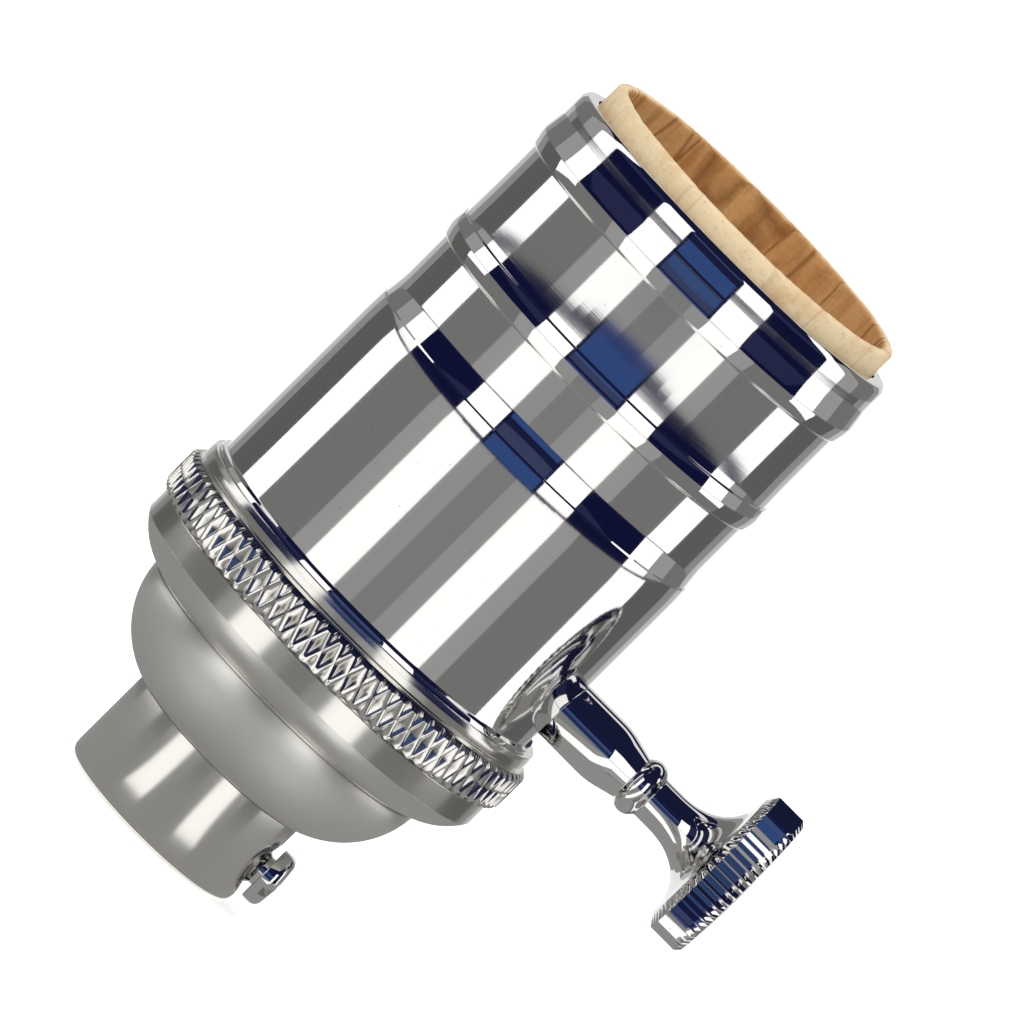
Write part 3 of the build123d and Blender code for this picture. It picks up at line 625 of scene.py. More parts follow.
def make_liner(s, slot_w, material):
    """Fibre tube with pressed wrinkles and an uneven cut edge."""
    inner_r = s.radius - s.wall
    rows = 56
    top = LINER_TOP - s.edge
    outer = [(s.radius, LINER_LOW + (top - LINER_LOW) * (i / rows) ** 0.7) for i in range(rows + 1)]
    inner = [(inner_r, z) for _, z in reversed(outer)]
    edge = arc((s.radius, top), (s.radius - s.edge, LINER_TOP), s.edge, 5)
    edge += arc((inner_r + s.edge, LINER_TOP), (inner_r, top), s.edge, 5)
    liner = lathe("insulating_liner_fibre", [*outer, *edge[1:-1], *inner], 288)

    def press(points):
        r = np.hypot(points[:, 0], points[:, 1])
        for i, (x, y, z) in enumerate(points):
            turn = atan2(y, x)
            around = Vector((cos(turn), sin(turn), 0))
            broad = noise.noise(around * 5.5 + Vector((0, 0, z / (9 * MM))))
            crease = 1 - abs(noise.noise(around * 9 + Vector((3, 7, z / (5 * MM)))))
            inward = s.wrinkle * (0.5 * broad + 1.6 * max(crease - 0.9, 0) * 10 * 0.5)
            points[i, :2] *= (r[i] - abs(inward) * (0.4 if r[i] > s.radius - 0.3 * MM else 1.0)) / r[i]
            near = max(0, 1 - (LINER_TOP - z) / (4 * MM))
            dip = 0.5 + 0.5 * noise.noise(around * 2.6 + Vector((1, 5, 0)))
            dip += 0.5 * abs(noise.noise(around * 14 + Vector((4, 2, 0))))
            points[i, 2] -= near * (s.rim_wave * dip + s.rim_lean * (1 - sin(turn)) / 2)
        return points

    reshape(liner, press)
    cut(liner, key_slot_cutter(slot_w, 30 * MM))
    smooth(liner, 50)
    stand_for(liner, "insulating_liner", material)


def knob_outline(s):
    """Section of the knob along its axis: stem, taper, bead, waist, trumpet and disc."""
    bead_low = s.bead_x - s.bead_half
    bead_high = s.bead_x + s.bead_half
    open_r = s.trumpet_r - s.waist_r
    open_x = s.trumpet_end - s.waist_end
    # the trumpet is a quarter of a superellipse, slow at the waist and steep at its mouth
    trumpet = [
        (s.waist_r + open_r * (1 - cos(t) ** 0.9), s.waist_end + open_x * sin(t) ** 0.86)
        for t in (pi / 2 * i / 20 for i in range(1, 21))
    ]
    rim = s.disc_end - s.crown
    rib_start = s.disc_start + s.disc_edge
    rib_length = rim - s.disc_start - 2 * s.disc_edge
    ribs = [(s.disc_r, rib_start + rib_length * i / 4) for i in range(5)]
    face = arc((s.disc_r - s.disc_edge, rim), (0, s.disc_end), 61 * MM, 8)
    return rounded([
        (s.bore_r, s.start),
        (s.stem_r, s.start, 0.3 * MM),
        (s.stem_r, s.stem_end, 7 * MM),
        (s.taper_r, bead_low - 0.1 * MM, 0.1 * MM),
        *arc((s.taper_r + 0.08 * MM, bead_low), (s.waist_r + 0.08 * MM, bead_high), s.bead_curve, 14),
        (s.waist_r, bead_high + 0.15 * MM, 0.1 * MM),
        (s.waist_r, s.waist_end),
        *trumpet,
        (s.disc_r - s.disc_edge - 0.15 * MM, s.disc_start, 0.08 * MM),
        *ribs,
        *face,
        (0, s.bore_end),
        (s.bore_r, s.bore_end),
    ])


def make_turn_knob(s, material):
    """Turned knob whose disc has straight ribs, chamfered at both ends."""
    along = Matrix.Translation((0, 0, SHAFT_Z)) @ ALONG_X
    knob = lathe("turn_knob_turned", knob_outline(s), s.rib_count * 4, along)
    rim = s.disc_end - s.crown
    root_r = s.disc_r - s.rib_depth

    def press(points):
        y = points[:, 1]
        z = points[:, 2] - SHAFT_Z
        r = np.hypot(y, z)
        u = np.arctan2(z, y) * s.rib_count / (2 * pi)
        ridge = 1 - 2 * np.abs(u - np.round(u))
        ribbed = (points[:, 0] > s.disc_start - 0.1 * MM) & (points[:, 0] < rim + 0.1 * MM) & (r > root_r)
        scale = np.where(ribbed, (root_r + (r - root_r) * ridge) / np.maximum(r, WELD), 1)
        points[:, 1] = y * scale
        points[:, 2] = SHAFT_Z + z * scale
        return points

    reshape(knob, press)
    smooth(knob, 30)
    stand_for(knob, "turn_knob", material)


def make_screw_shell(s, material):
    """Lamp thread rolled into thin brass: the wall is pressed out along a helix and fades at both ends."""
    rows = 110
    wall_low = COVER_TOP + s.sheet / 2
    wall = [(s.minor_r, wall_low + (THREAD_TOP - wall_low) * i / rows) for i in range(rows + 1)]
    floor = [(s.hole_r, wall_low), (s.minor_r - 1.5 * MM, wall_low)]
    shell = lathe("screw_shell_rolled", [*floor, *wall], 192, closed=False)

    def press(points):
        r = np.hypot(points[:, 0], points[:, 1])
        turn = np.arctan2(points[:, 1], points[:, 0]) / (2 * pi)
        z = points[:, 2]
        first = COVER_TOP + s.lead
        wave = 0.5 + 0.5 * np.cos(2 * pi * ((z - first) / s.pitch - turn))
        last = first + s.turns * s.pitch
        fade = np.clip(np.minimum(z - first + 0.5 * s.pitch, last + 0.5 * s.pitch - z) / (0.8 * MM), 0, 1)
        new = np.where(r > s.minor_r - 0.1 * MM, s.minor_r + (s.major_r - s.minor_r) * wave ** 0.8 * fade, r)
        points[:, :2] *= (new / r)[:, None]
        return points

    reshape(shell, press)
    only(shell)
    bpy.ops.object.modifier_add(type="SOLIDIFY")
    shell.modifiers[-1].thickness = s.sheet
    shell.modifiers[-1].offset = 0
    bpy.ops.object.modifier_apply(modifier=shell.modifiers[-1].name)
    smooth(shell, 40)
    stand_for(shell, "screw_shell", material)


def add(tree, kind, links=(), **settings):
    """Adds a node with its settings; each link gives an input a value or the output that feeds it."""
    made = tree.nodes.new(kind)
    for key, value in settings.items():
        setattr(made, key, value)
    for key, value in dict(links).items():
        if isinstance(value, bpy.types.NodeSocket):
            tree.links.new(value, made.inputs[key])
        else:
            made.inputs[key].default_value = value
    return made


def start_material(name):
    """New material: gives it, its cleared tree and the object coordinates in metres."""
    material = bpy.data.materials.new(name)
    material.use_nodes = True
    tree = material.node_tree
    tree.nodes.clear()
    place = add(tree, "ShaderNodeTexCoord").outputs["Object"]
    return material, tree, place


def close_material(material, tree, links):
    """Ends the material with its shader, fed as the links say."""
    shader = add(tree, "ShaderNodeBsdfPrincipled", links)
    add(tree, "ShaderNodeOutputMaterial", {"Surface": shader.outputs[0]})
    return material


def per_mm(size):
    """Noise scale whose features are this many millimetres across."""
    return 1 / (size * MM)


def polished_nickel(f):
    """Bright nickel plate on drawn brass: a mirror on the rolled beads, a softer polish on the straight
    walls, faint drawing lines round them, a few fine scratches and specks."""
    material, tree, place = start_material("polished_nickel_plate")
    facing = add(tree, "ShaderNodeSeparateXYZ", {0: add(tree, "ShaderNodeNewGeometry").outputs["Normal"]})
    tilt = add(tree, "ShaderNodeMath", {0: facing.outputs["Z"]}, operation="ABSOLUTE")
    patches = add(tree, "ShaderNodeTexNoise", {"Vector": place, "Scale": per_mm(7), "Detail": 3.0})
    rough = add(tree, "ShaderNodeMapRange", {
        "Value": tilt.outputs[0], "From Min": 0.01, "From Max": 0.12,
        "To Min": f.shell_roughness, "To Max": f.bead_roughness,
    })
    vary = add(tree, "ShaderNodeMath", {
        0: patches.outputs[0], 1: 0.025, 2: rough.outputs[0],
    }, operation="MULTIPLY_ADD")
    # drawing lines run round the wall, 0.15 mm apart
    stretch = add(tree, "ShaderNodeMapping", {"Vector": place, "Scale": (0.04, 0.04, 1.0)})
    lines = add(tree, "ShaderNodeTexNoise", {
        "Vector": stretch.outputs[0], "Scale": per_mm(0.15), "Detail": 2.0,
    })
    streak = add(tree, "ShaderNodeMapping", {
        "Vector": place, "Rotation": (0.5, 0.9, 0.3), "Scale": (1.0, 1.0, 0.06),
    })
    scratch = add(tree, "ShaderNodeTexVoronoi", {
        "Vector": streak.outputs[0], "Scale": per_mm(2.6),
    }, feature="F1")
    rare = add(tree, "ShaderNodeMapRange", {
        "Value": scratch.outputs["Distance"], "From Min": 0.012, "From Max": 0.03,
        "To Min": 1.0, "To Max": 0.0,
    })
    relief = add(tree, "ShaderNodeMath", {
        0: rare.outputs[0], 1: 0.6, 2: lines.outputs[0],
    }, operation="MULTIPLY_ADD")
    bump = add(tree, "ShaderNodeBump", {
        "Height": relief.outputs[0], "Strength": 0.012, "Distance": 0.02 * MM,
    })
    # specks of dust and pits, 0.1 mm across
    dust = add(tree, "ShaderNodeTexVoronoi", {"Vector": place, "Scale": per_mm(1.9)}, feature="F1")
    speck = add(tree, "ShaderNodeMapRange", {
        "Value": dust.outputs["Distance"], "From Min": 0.03, "From Max": 0.055, "To Min": 0.45, "To Max": 0.0,
    })
    tone = add(tree, "ShaderNodeMix", {
        0: speck.outputs[0], 6: linear(f.nickel), 7: linear(f.dust),
    }, data_type="RGBA")
    return close_material(material, tree, {
        "Base Color": tone.outputs[2], "Metallic": 1.0,
        "Roughness": vary.outputs[0], "Normal": bump.outputs[0],
    })


def turned_nickel(f, cap):
    """Nickel plate on the turned cap: neck, skirt and rim are buffed, while the dome and the skirt's
    underside keep the fine rings of the lathe and a soft shine, and the knurl's pits carry tarnish and
    painted shade."""
    material, tree, place = start_material("turned_nickel_plate")
    high = add(tree, "ShaderNodeSeparateXYZ", {0: place}).outputs["Z"]
    soft = 0.06 * MM
    dome_top = cap.neck_h + cap.dome_h
    corner = dome_top + cap.groove_h + cap.skirt_curve_h
    above = add(tree, "ShaderNodeMapRange", {
        "Value": high, "From Min": cap.neck_h - 3 * soft, "From Max": cap.neck_h - soft,
    })
    below = add(tree, "ShaderNodeMapRange", {
        "Value": high, "From Min": corner - soft, "From Max": corner + soft, "To Min": 1.0, "To Max": 0.0,
    })
    # the dome gets brighter towards its upper edge, where the buffing wheel has touched it
    fading = add(tree, "ShaderNodeMapRange", {
        "Value": high, "From Min": dome_top - 1.8 * MM, "From Max": dome_top - 0.3 * MM,
        "To Min": 1.0, "To Max": 0.42,
    })
    middle = add(tree, "ShaderNodeMath", {0: above.outputs[0], 1: below.outputs[0]}, operation="MULTIPLY")
    brushed = add(tree, "ShaderNodeMath", {0: middle.outputs[0], 1: fading.outputs[0]}, operation="MULTIPLY")
    patches = add(tree, "ShaderNodeTexNoise", {"Vector": place, "Scale": per_mm(5), "Detail": 4.0})
    level = add(tree, "ShaderNodeMapRange", {
        "Value": brushed.outputs[0], "To Min": f.buffed_roughness, "To Max": f.satin_roughness,
    })
    rough = add(tree, "ShaderNodeMath", {
        0: patches.outputs[0], 1: 0.06, 2: level.outputs[0],
    }, operation="MULTIPLY_ADD")
    # turning marks, 0.12 mm apart
    stretch = add(tree, "ShaderNodeMapping", {"Vector": place, "Scale": (0.03, 0.03, 1.0)})
    lines = add(tree, "ShaderNodeTexNoise", {
        "Vector": stretch.outputs[0], "Scale": per_mm(0.12), "Detail": 3.0,
    })
    grain = add(tree, "ShaderNodeTexNoise", {"Vector": place, "Scale": per_mm(0.09), "Detail": 2.0})
    relief = add(tree, "ShaderNodeMath", {
        0: grain.outputs[0], 1: 0.4, 2: lines.outputs[0],
    }, operation="MULTIPLY_ADD")
    depth = add(tree, "ShaderNodeMapRange", {"Value": brushed.outputs[0], "To Min": 0.1, "To Max": 1.0})
    shaped = add(tree, "ShaderNodeMath", {0: relief.outputs[0], 1: depth.outputs[0]}, operation="MULTIPLY")
    bump = add(tree, "ShaderNodeBump", {"Height": shaped.outputs[0], "Strength": 0.12, "Distance": 0.03 * MM})
    # tarnish in the pits of the knurl, which the buffing wheel doesn't reach, with painted shade darkening
    # the deeper pits
    apart = add(tree, "ShaderNodeSeparateXYZ", {0: place})
    flat = add(tree, "ShaderNodeCombineXYZ", {0: apart.outputs[0], 1: apart.outputs[1]})
    out = add(tree, "ShaderNodeVectorMath", {0: flat.outputs[0]}, operation="LENGTH")
    knurled = add(tree, "ShaderNodeMath", {
        0: out.outputs["Value"], 1: cap.skirt_r + 0.04 * MM,
    }, operation="GREATER_THAN")
    deep = add(tree, "ShaderNodeMapRange", {
        "Value": out.outputs["Value"], "From Min": cap.band_root_r, "From Max": cap.band_root_r + 0.3 * MM,
        "To Min": 0.75, "To Max": 0.0,
    })
    pit = add(tree, "ShaderNodeMath", {0: knurled.outputs[0], 1: deep.outputs[0]}, operation="MULTIPLY")
    tone = add(tree, "ShaderNodeMix", {
        0: pit.outputs[0], 6: linear(f.satin), 7: linear(f.tarnish),
    }, data_type="RGBA")
    return close_material(material, tree, {
        "Base Color": tone.outputs[2], "Metallic": 1.0,
        "Roughness": rough.outputs[0], "Normal": bump.outputs[0],
    })


def fibreboard(f):
    """Rolled fibre paper: pale outside and orange-brown inside, with faint mottling, upright seams where
    the paper was creased, darkened with painted shade, and short fibres."""
    material, tree, place = start_material("rolled_fibre_paper")
    apart = add(tree, "ShaderNodeSeparateXYZ", {0: place})
    flat = add(tree, "ShaderNodeCombineXYZ", {0: apart.outputs[0], 1: apart.outputs[1]})
    out = add(tree, "ShaderNodeVectorMath", {0: flat.outputs[0]}, operation="LENGTH")
    edge_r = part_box("insulating_liner")[1].y
    depth = add(tree, "ShaderNodeMapRange", {
        "Value": out.outputs["Value"], "From Min": edge_r - 1.05 * MM, "From Max": edge_r - 0.8 * MM,
        "To Min": 1.0, "To Max": 0.0,
    })
    base = add(tree, "ShaderNodeMix", {
        0: depth.outputs[0], 6: linear(f.fibre), 7: linear(f.fibre_inside),
    }, data_type="RGBA")
    stain = add(tree, "ShaderNodeTexNoise", {
        "Vector": place, "Scale": per_mm(3.5), "Detail": 6.0, "Roughness": 0.6,
    })
    share = add(tree, "ShaderNodeMapRange", {
        "Value": stain.outputs[0], "From Min": 0.48, "From Max": 0.75, "To Max": 0.55,
    })
    mottled = add(tree, "ShaderNodeMix", {
        0: share.outputs[0], 6: base.outputs[2], 7: linear(f.fibre_stain),
    }, data_type="RGBA", blend_type="MULTIPLY")
    # brown streaks run up the inside
    upright = add(tree, "ShaderNodeMapping", {"Vector": place, "Scale": (1.0, 1.0, 0.16)})
    streak = add(tree, "ShaderNodeTexNoise", {
        "Vector": upright.outputs[0], "Scale": per_mm(1.6), "Detail": 4.0,
    })
    burnt = add(tree, "ShaderNodeMapRange", {"Value": streak.outputs[0], "From Min": 0.5, "From Max": 0.72})
    inner = add(tree, "ShaderNodeMath", {0: burnt.outputs[0], 1: depth.outputs[0]}, operation="MULTIPLY")
    streaked = add(tree, "ShaderNodeMix", {
        0: inner.outputs[0], 6: mottled.outputs[2], 7: linear(f.fibre_streak),
    }, data_type="RGBA")
    fleck = add(tree, "ShaderNodeTexNoise", {"Vector": place, "Scale": per_mm(0.4), "Detail": 3.0})
    specks = add(tree, "ShaderNodeMapRange", {
        "Value": fleck.outputs[0], "From Min": 0.58, "From Max": 0.74, "To Max": 0.4,
    })
    spotted = add(tree, "ShaderNodeMix", {
        0: specks.outputs[0], 6: streaked.outputs[2], 7: linear(f.fibre_fleck),
    }, data_type="RGBA")
    # seams 7 mm apart, wandering a little as they go up, darkened with painted shade in their creases
    wander = add(tree, "ShaderNodeMapping", {"Vector": place, "Scale": (1.0, 1.0, 0.1)})
    seams = add(tree, "ShaderNodeTexVoronoi", {
        "Vector": wander.outputs[0], "Scale": per_mm(7), "Randomness": 1.0,
    }, feature="DISTANCE_TO_EDGE")
    line = add(tree, "ShaderNodeMapRange", {
        "Value": seams.outputs["Distance"], "From Min": 0.0, "From Max": 0.018, "To Min": 1.0, "To Max": 0.0,
    })
    # painted shade along the creases, stronger on the inside of the tube than outside
    crease_shade_weight = add(tree, "ShaderNodeMapRange", {"Value": depth.outputs[0], "To Min": 0.22, "To Max": 0.75})
    creased = add(tree, "ShaderNodeMath", {0: line.outputs[0], 1: crease_shade_weight.outputs[0]}, operation="MULTIPLY")
    crease_shaded = add(tree, "ShaderNodeMix", {
        0: creased.outputs[0], 6: spotted.outputs[2], 7: linear(f.fibre_crease_shade),
    }, data_type="RGBA")
    relief = add(tree, "ShaderNodeMath", {
        0: line.outputs[0], 1: -0.6, 2: fleck.outputs[0],
    }, operation="MULTIPLY_ADD")
    bump = add(tree, "ShaderNodeBump", {"Height": relief.outputs[0], "Strength": 0.5, "Distance": 0.12 * MM})
    return close_material(material, tree, {
        "Base Color": crease_shaded.outputs[2], "Roughness": 0.78, "Specular IOR Level": 0.3,
        "Normal": bump.outputs[0],
    })


def phenolic(f):
    """Compression-moulded phenolic: near-black brown, with the faint flow and dull gloss of the mould."""
    material, tree, place = start_material("moulded_phenolic")
    flow = add(tree, "ShaderNodeTexNoise", {"Vector": place, "Scale": per_mm(3), "Detail": 6.0})
    tone = add(tree, "ShaderNodeMix", {
        0: flow.outputs[0], 6: linear(f.phenolic), 7: linear(f.phenolic_flow),
    }, data_type="RGBA")
    grain = add(tree, "ShaderNodeTexNoise", {"Vector": place, "Scale": per_mm(0.2), "Detail": 2.0})
    bump = add(tree, "ShaderNodeBump", {"Height": grain.outputs[0], "Strength": 0.3, "Distance": 0.04 * MM})
    return close_material(material, tree, {
        "Base Color": tone.outputs[2], "Roughness": 0.38, "Normal": bump.outputs[0],
    })


def sheet_metal(name, tone, dark, roughness, line_mm):
    """Rolled or drawn metal: parallel mill lines, and tarnish in soft patches."""
    material, tree, place = start_material(name)
    patches = add(tree, "ShaderNodeTexNoise", {"Vector": place, "Scale": per_mm(4), "Detail": 5.0})
    share = add(tree, "ShaderNodeMapRange", {"Value": patches.outputs[0], "From Min": 0.4, "From Max": 0.75})
    shade = add(tree, "ShaderNodeMix", {
        0: share.outputs[0], 6: linear(tone), 7: linear(dark),
    }, data_type="RGBA")
    stretch = add(tree, "ShaderNodeMapping", {"Vector": place, "Scale": (0.08, 0.08, 1.0)})
    lines = add(tree, "ShaderNodeTexNoise", {
        "Vector": stretch.outputs[0], "Scale": per_mm(line_mm), "Detail": 2.0,
    })
    rough = add(tree, "ShaderNodeMath", {
        0: patches.outputs[0], 1: 0.16, 2: roughness - 0.08,
    }, operation="MULTIPLY_ADD")
    bump = add(tree, "ShaderNodeBump", {"Height": lines.outputs[0], "Strength": 0.1, "Distance": 0.03 * MM})
    return close_material(material, tree, {
        "Base Color": shade.outputs[2], "Metallic": 1.0,
        "Roughness": rough.outputs[0], "Normal": bump.outputs[0],
    })


def finish_nodes(materials):
    """Gives each node that keeps its own mesh the finish of its material slot."""
    finishes = {
        "cap_insulator": "fibre", "switch_base": "phenolic", "switch_cover": "phenolic",
        "switch_rotor": "phenolic", "assembly_rivets": "brass", "hot_terminal": "brass",
        "neutral_terminal": "tinned", "hot_screw": "brass", "neutral_screw": "tinned",
        "hot_spring": "bronze", "load_spring": "bronze", "centre_contact": "brass",
        "centre_rivet": "brass", "knob_shaft": "steel", "shaft_bushing": "polished",
        "shaft_clip": "steel", "rotor_contact": "brass", "index_spring": "steel",
    }
    for node, kind in finishes.items():
        for place in frame["nodes"][node].material_slots:
            place.material = materials[kind]


def card(name, outline, first, last, strength, tint="FFFFFF"):
    """Reflector that only the gloss of the pieces sees, as a sector of a turned surface round the socket."""
    sweep = last - first
    # spin turns clockwise, so the sector starts at its last angle
    place = Matrix.Rotation(radians(last) - pi / 2, 4, "Z")
    steps = max(int(abs(sweep) / 3), 2)
    piece = lathe(name, outline, steps, place, sweep=radians(sweep), closed=False)
    material, tree, _ = start_material(name)
    glow = add(tree, "ShaderNodeEmission", {"Color": linear(tint), "Strength": strength})
    add(tree, "ShaderNodeOutputMaterial", {"Surface": glow.outputs[0]})
    piece.data.materials.append(material)
    piece.visible_camera = False
    piece.visible_diffuse = False
    piece.visible_shadow = False
    piece.visible_transmission = False


def make_cards():
    """What the bright pieces mirror: a grey table with white strips, navy beyond its front edge, white
    and navy walls and a navy ceiling."""
    ground = 0.3 * MM
    wall_r = 0.85
    wall_h = 0.6

    def both(name, first, last, outline, strength, tint="FFFFFF"):
        card(f"{name}_right", outline, first, last, strength, tint)
        card(f"{name}_left", outline, -last, -first, strength, tint)

    card("table_near", [(0.008, ground), (0.05, ground)], 0, 360, 0.33)
    card("table", [(0.05, ground), (wall_r, ground)], 0, 360, 0.21)
    card("table_middle", [(0.05, 0.4 * MM), (0.68, 0.4 * MM)], -8, 8, 0.25)
    card("edge_front", [(0.68, 0.35 * MM), (wall_r, 0.35 * MM)], -42, 42, 1.0, "141A3A")
    card("edge_middle", [(0.68, 0.45 * MM), (wall_r, 0.45 * MM)], -18, 18, 1.0, "2C3A74")
    both("edge_side", 88, 111, [(0.72, 0.4 * MM), (wall_r, 0.4 * MM)], 1.0, "141A3A")
    # name, first and last angle, inner and outer edge, strength
    strips = (
        ("inner", 8, 20, 0.05, 0.69, 0.35),
        ("front_a", 20, 28, 0.02, 0.73, 1.35),
        ("front_b", 28, 35, 0.02, 0.78, 1.35),
        ("front_c", 35, 42, 0.02, 0.84, 1.35),
        ("beside", 42, 54, 0.05, wall_r, 0.38),
        ("side_near", 74, 118, 0.058, 0.095, 1.2),
        ("side", 88, 111, 0.19, 0.72, 1.5),
        ("behind", 111, 138, 0.1, wall_r, 0.13),
        ("far", 138, 150, 0.1, wall_r, 0.3),
        ("rear_dim", 150, 162, 0.06, wall_r, 0.56),
        ("rear", 162, 180, 0.03, wall_r, 1.0),
    )
    for name, first, last, inner_r, outer_r, strength in strips:
        both(f"table_{name}", first, last, [(inner_r, 0.5 * MM), (outer_r, 0.5 * MM)], strength)
    # name, first and last angle, lower and upper edge, strength, tint
    walls = (
        ("front", 20, 42, 0.013, wall_h, 1.4, "FFFFFF"),
        ("side", 88, 107, 0.013, 0.97, 1.4, "FFFFFF"),
        ("behind", 107, 124, 0.0, wall_h, 0.38, "FFFFFF"),
        ("far", 124, 150, 0.0, wall_h, 0.2, "FFFFFF"),
        ("rear_dim", 150, 161, 0.0, wall_h, 0.32, "FFFFFF"),
        ("rear", 161, 180, 0.0, wall_h, 0.75, "FFFFFF"),
        ("foot", 0, 18, 0.0, 0.08, 1.0, "35508A"),
        ("waist", 0, 18, 0.08, 0.145, 1.0, "1C1F42"),
        ("middle", 0, 18, 0.145, 0.2, 1.0, "3D4668"),
        ("top", 0, 18, 0.2, 0.32, 1.0, "3C5486"),
        ("crown", 0, 18, 0.32, wall_h, 1.0, "1C1E44"),
        ("low_navy", 18, 88, 0.0, 0.145, 1.0, "12153A"),
        ("navy", 18, 88, 0.145, wall_h, 1.0, "2B2D52"),
    )
    bright = ("front", "side")
    for name, first, last, low, high, strength, tint in walls:
        # the white walls at the front and the sides stand 10 mm before the navy ones
        r = wall_r - 0.01 if name in bright else wall_r
        both(f"wall_{name}", first, last, [(r, low), (r, high)], strength, tint)
    # the ceiling is a cone on a short upright edge, and a bright window lies under it at the back
    card("ceiling", [(wall_r + 0.02, 0.4), (wall_r + 0.02, 1.05), (0, 1.3)], 0, 360, 1.0, "191D3C")
    card("skylight", [(0.55, 1.02), (wall_r, 1.02)], 120, 240, 0.9)


def make_lamps():
    """Soft boxes that light the matt pieces and the floor."""
    lamps = (
        ("key", (-0.9, -1.1, 1.3), 0.9, 17.0),
        ("fill", (1.2, -0.7, 0.9), 0.9, 8.0),
        ("back", (0.2, 1.2, 1.2), 0.8, 9.0),
    )
    for name, place, width, power in lamps:
        data = bpy.data.lights.new(name, "AREA")
        data.shape = "SQUARE"
        data.size = width
        data.energy = power
        lamp = bpy.data.objects.new(name, data)
        bpy.context.scene.collection.objects.link(lamp)
        lamp.location = place
        lamp.rotation_euler = (Vector((0, 0, 0.03)) - Vector(place)).to_track_quat("-Z", "Y").to_euler()
        lamp.visible_glossy = False


def seen_directly(tree):
    """Output that is 1 where the camera, a gloss or a see-through surface looks at the background."""
    path = add(tree, "ShaderNodeLightPath").outputs
    direct = add(tree, "ShaderNodeMath", {
        0: path["Is Camera Ray"], 1: path["Is Glossy Ray"],
    }, operation="MAXIMUM")
    through = add(tree, "ShaderNodeMath", {
        0: direct.outputs[0], 1: path["Is Transmission Ray"],
    }, operation="MAXIMUM")
    return through.outputs[0]


def make_world():
    """White round the floor, and a gentle even light from all sides."""
    world = bpy.data.worlds.new("studio")
    bpy.context.scene.world = world
    world.use_nodes = True
    tree = world.node_tree
    tree.nodes.clear()
    level = add(tree, "ShaderNodeMapRange", {"Value": seen_directly(tree), "To Min": 0.42, "To Max": 1.0})
    glow = add(tree, "ShaderNodeBackground", {"Color": (1, 1, 1, 1), "Strength": level.outputs[0]})
    add(tree, "ShaderNodeOutputWorld", {"Surface": glow.outputs[0]})


def make_floor(s):
    """Pale floor that keeps the socket's soft shadow and reads as white in the picture."""
    bpy.ops.object.select_all(action="DESELECT")
    bpy.ops.mesh.primitive_plane_add(size=2 * s.floor_half)
    floor = bpy.context.object
    floor.name = "floor"
    material, tree, place = start_material("floor_paper")
    grain = add(tree, "ShaderNodeTexNoise", {"Vector": place, "Scale": per_mm(40), "Detail": 2.0})
    tone = add(tree, "ShaderNodeMix", {
        0: grain.outputs[0], 6: linear(s.floor_tone), 7: (1, 1, 1, 1),
    }, data_type="RGBA")
    paper = add(tree, "ShaderNodeBsdfDiffuse", {"Color": tone.outputs[2]})
    lift = add(tree, "ShaderNodeMath", {0: seen_directly(tree), 1: 0.45}, operation="MULTIPLY")
    glow = add(tree, "ShaderNodeEmission", {"Strength": lift.outputs[0]})
    both = add(tree, "ShaderNodeAddShader", {0: paper.outputs[0], 1: glow.outputs[0]})
    add(tree, "ShaderNodeOutputMaterial", {"Surface": both.outputs[0]})
    floor.data.materials.append(material)


def make_camera(s):
    """Camera at the photograph's angle, rolled so that the upright socket leans in the picture."""
    away = Vector((sin(s.azimuth) * cos(s.elevation), -cos(s.azimuth) * cos(s.elevation), sin(s.elevation)))
    right = Vector((cos(s.azimuth), sin(s.azimuth), 0))
    up = away.cross(right)
    across = right * cos(s.roll) + up * sin(s.roll)
    upward = up * cos(s.roll) - right * sin(s.roll)
    data = bpy.data.cameras.new("camera")
    data.sensor_width = 36
    data.lens = s.lens
    data.clip_start = 0.01
    data.clip_end = 20
    camera = bpy.data.objects.new("camera", data)
    bpy.context.scene.collection.objects.link(camera)
    turn = Matrix((across, upward, away)).transposed().to_4x4()
    spot = right * s.target_x + Vector((0, 0, s.target_z)) + away * s.distance
    camera.matrix_world = Matrix.Translation(spot) @ turn
    bpy.context.scene.camera = camera


MATERIALS = {}


class SOCKET_OT_finishes(bpy.types.Operator):
    """Makes the socket's materials"""
    bl_idname = "socket.finishes"
    bl_label = "Finishes"

    def execute(self, context):
        f = context.scene.socket_finishes
        MATERIALS["polished"] = polished_nickel(f)
        MATERIALS["turned"] = turned_nickel(f, context.scene.socket_cap)
        MATERIALS["fibre"] = fibreboard(f)
        MATERIALS["phenolic"] = phenolic(f)
        MATERIALS["brass"] = sheet_metal("rolled_brass", f.brass, f.brass_dark, 0.27, 0.2)
        MATERIALS["tinned"] = sheet_metal("tinned_brass", f.tinned, f.tinned_dark, 0.34, 0.3)
        MATERIALS["bronze"] = sheet_metal("spring_bronze", f.bronze, f.bronze_dark, 0.3, 0.15)
        MATERIALS["steel"] = sheet_metal("zinc_plated_steel", f.steel, f.steel_dark, 0.3, 0.12)
        return {"FINISHED"}


class SOCKET_OT_cap(bpy.types.Operator):
    """Turns the cap with its neck, dome, skirt and diamond knurl"""
    bl_idname = "socket.cap"
    bl_label = "Cap"

    def execute(self, context):
        make_cap(context.scene.socket_cap, MATERIALS["turned"])
        return {"FINISHED"}


class SOCKET_OT_set_screw(bpy.types.Operator):
    """Makes the slotted set screw"""
    bl_idname = "socket.set_screw"
    bl_label = "Set screw"

    def execute(self, context):
        make_set_screw(context.scene.socket_screw, MATERIALS["polished"])
        return {"FINISHED"}


class SOCKET_OT_shell(bpy.types.Operator):
    """Draws the outer shell with its step, beads and mouth"""
    bl_idname = "socket.shell"
    bl_label = "Outer shell"

    def execute(self, context):
        make_outer_shell(context.scene.socket_shell, MATERIALS["polished"])
        return {"FINISHED"}


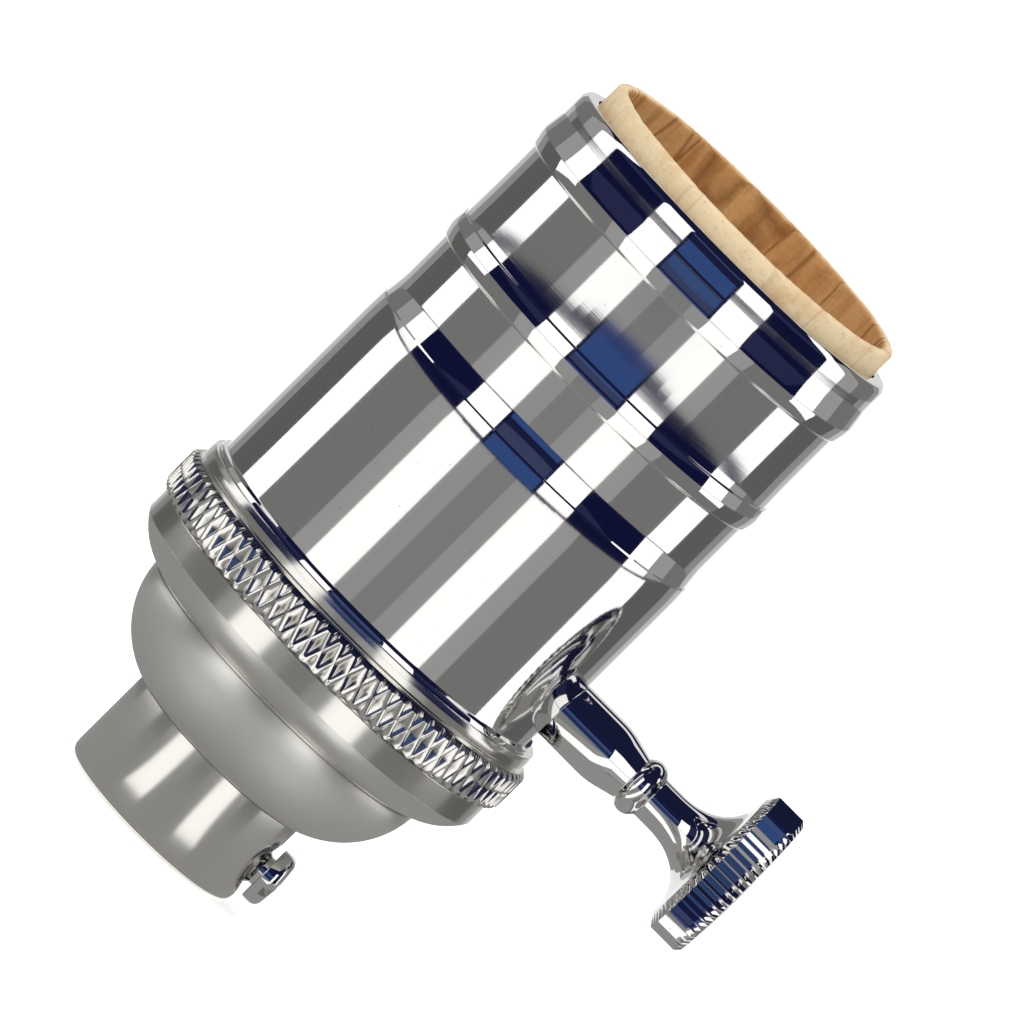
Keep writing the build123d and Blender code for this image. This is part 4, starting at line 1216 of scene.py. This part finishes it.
class SOCKET_OT_liner(bpy.types.Operator):
    """Rolls the fibre liner"""
    bl_idname = "socket.liner"
    bl_label = "Insulating liner"

    def execute(self, context):
        scene = context.scene
        make_liner(scene.socket_liner, scene.socket_shell.slot_w, MATERIALS["fibre"])
        return {"FINISHED"}


class SOCKET_OT_knob(bpy.types.Operator):
    """Turns the knob and ribs its disc"""
    bl_idname = "socket.knob"
    bl_label = "Turn knob"

    def execute(self, context):
        make_turn_knob(context.scene.socket_knob, MATERIALS["polished"])
        return {"FINISHED"}


class SOCKET_OT_thread(bpy.types.Operator):
    """Rolls the lamp's screw shell"""
    bl_idname = "socket.thread"
    bl_label = "Screw shell"

    def execute(self, context):
        make_screw_shell(context.scene.socket_thread, MATERIALS["brass"])
        return {"FINISHED"}


class SOCKET_OT_inner_pieces(bpy.types.Operator):
    """Finishes the switch and the other pieces that keep their mesh"""
    bl_idname = "socket.inner_pieces"
    bl_label = "Switch and terminals"

    def execute(self, context):
        finish_nodes(MATERIALS)
        return {"FINISHED"}


class SOCKET_OT_stage(bpy.types.Operator):
    """Sets up the floor, lamps, reflectors and camera"""
    bl_idname = "socket.stage"
    bl_label = "Stage"

    def execute(self, context):
        make_floor(context.scene.socket_stage)
        make_world()
        make_lamps()
        make_cards()
        make_camera(context.scene.socket_stage)
        context.scene.view_settings.view_transform = "Standard"
        return {"FINISHED"}


OPERATORS = (
    SOCKET_OT_finishes, SOCKET_OT_cap, SOCKET_OT_set_screw, SOCKET_OT_shell, SOCKET_OT_liner,
    SOCKET_OT_knob, SOCKET_OT_thread, SOCKET_OT_inner_pieces, SOCKET_OT_stage,
)

GROUPS = {
    "socket_cap": SocketCapSizes, "socket_screw": SocketScrewSizes, "socket_shell": SocketShellSizes,
    "socket_liner": SocketLinerSizes, "socket_knob": SocketKnobSizes, "socket_thread": SocketThreadSizes,
    "socket_finishes": SocketFinishes, "socket_stage": SocketStage,
}


class SOCKET_PT_panel(bpy.types.Panel):
    """Lists the socket's pieces in the order in which they are made"""
    bl_idname = "SOCKET_PT_panel"
    bl_label = "Lamp socket"
    bl_space_type = "VIEW_3D"
    bl_region_type = "UI"
    bl_category = "Lamp socket"

    def draw(self, context):
        for operator in OPERATORS:
            self.layout.operator(operator.bl_idname)
        for name, group in GROUPS.items():
            box = self.layout.box()
            box.label(text=name.replace("_", " "))
            for key in group.__annotations__:
                box.prop(getattr(context.scene, name), key)


def register():
    for group in GROUPS.values():
        bpy.utils.register_class(group)
    for name, group in GROUPS.items():
        setattr(bpy.types.Scene, name, PointerProperty(type=group))
    for operator in OPERATORS:
        bpy.utils.register_class(operator)
    bpy.utils.register_class(SOCKET_PT_panel)


def unregister():
    bpy.utils.unregister_class(SOCKET_PT_panel)
    for operator in reversed(OPERATORS):
        bpy.utils.unregister_class(operator)
    for name, group in GROUPS.items():
        delattr(bpy.types.Scene, name)
        bpy.utils.unregister_class(group)


def main():
    register()
    bpy.ops.socket.finishes()
    bpy.ops.socket.cap()
    bpy.ops.socket.set_screw()
    bpy.ops.socket.shell()
    bpy.ops.socket.liner()
    bpy.ops.socket.knob()
    bpy.ops.socket.thread()
    bpy.ops.socket.inner_pieces()
    bpy.ops.socket.stage()


if __name__ == "__main__":
    main()
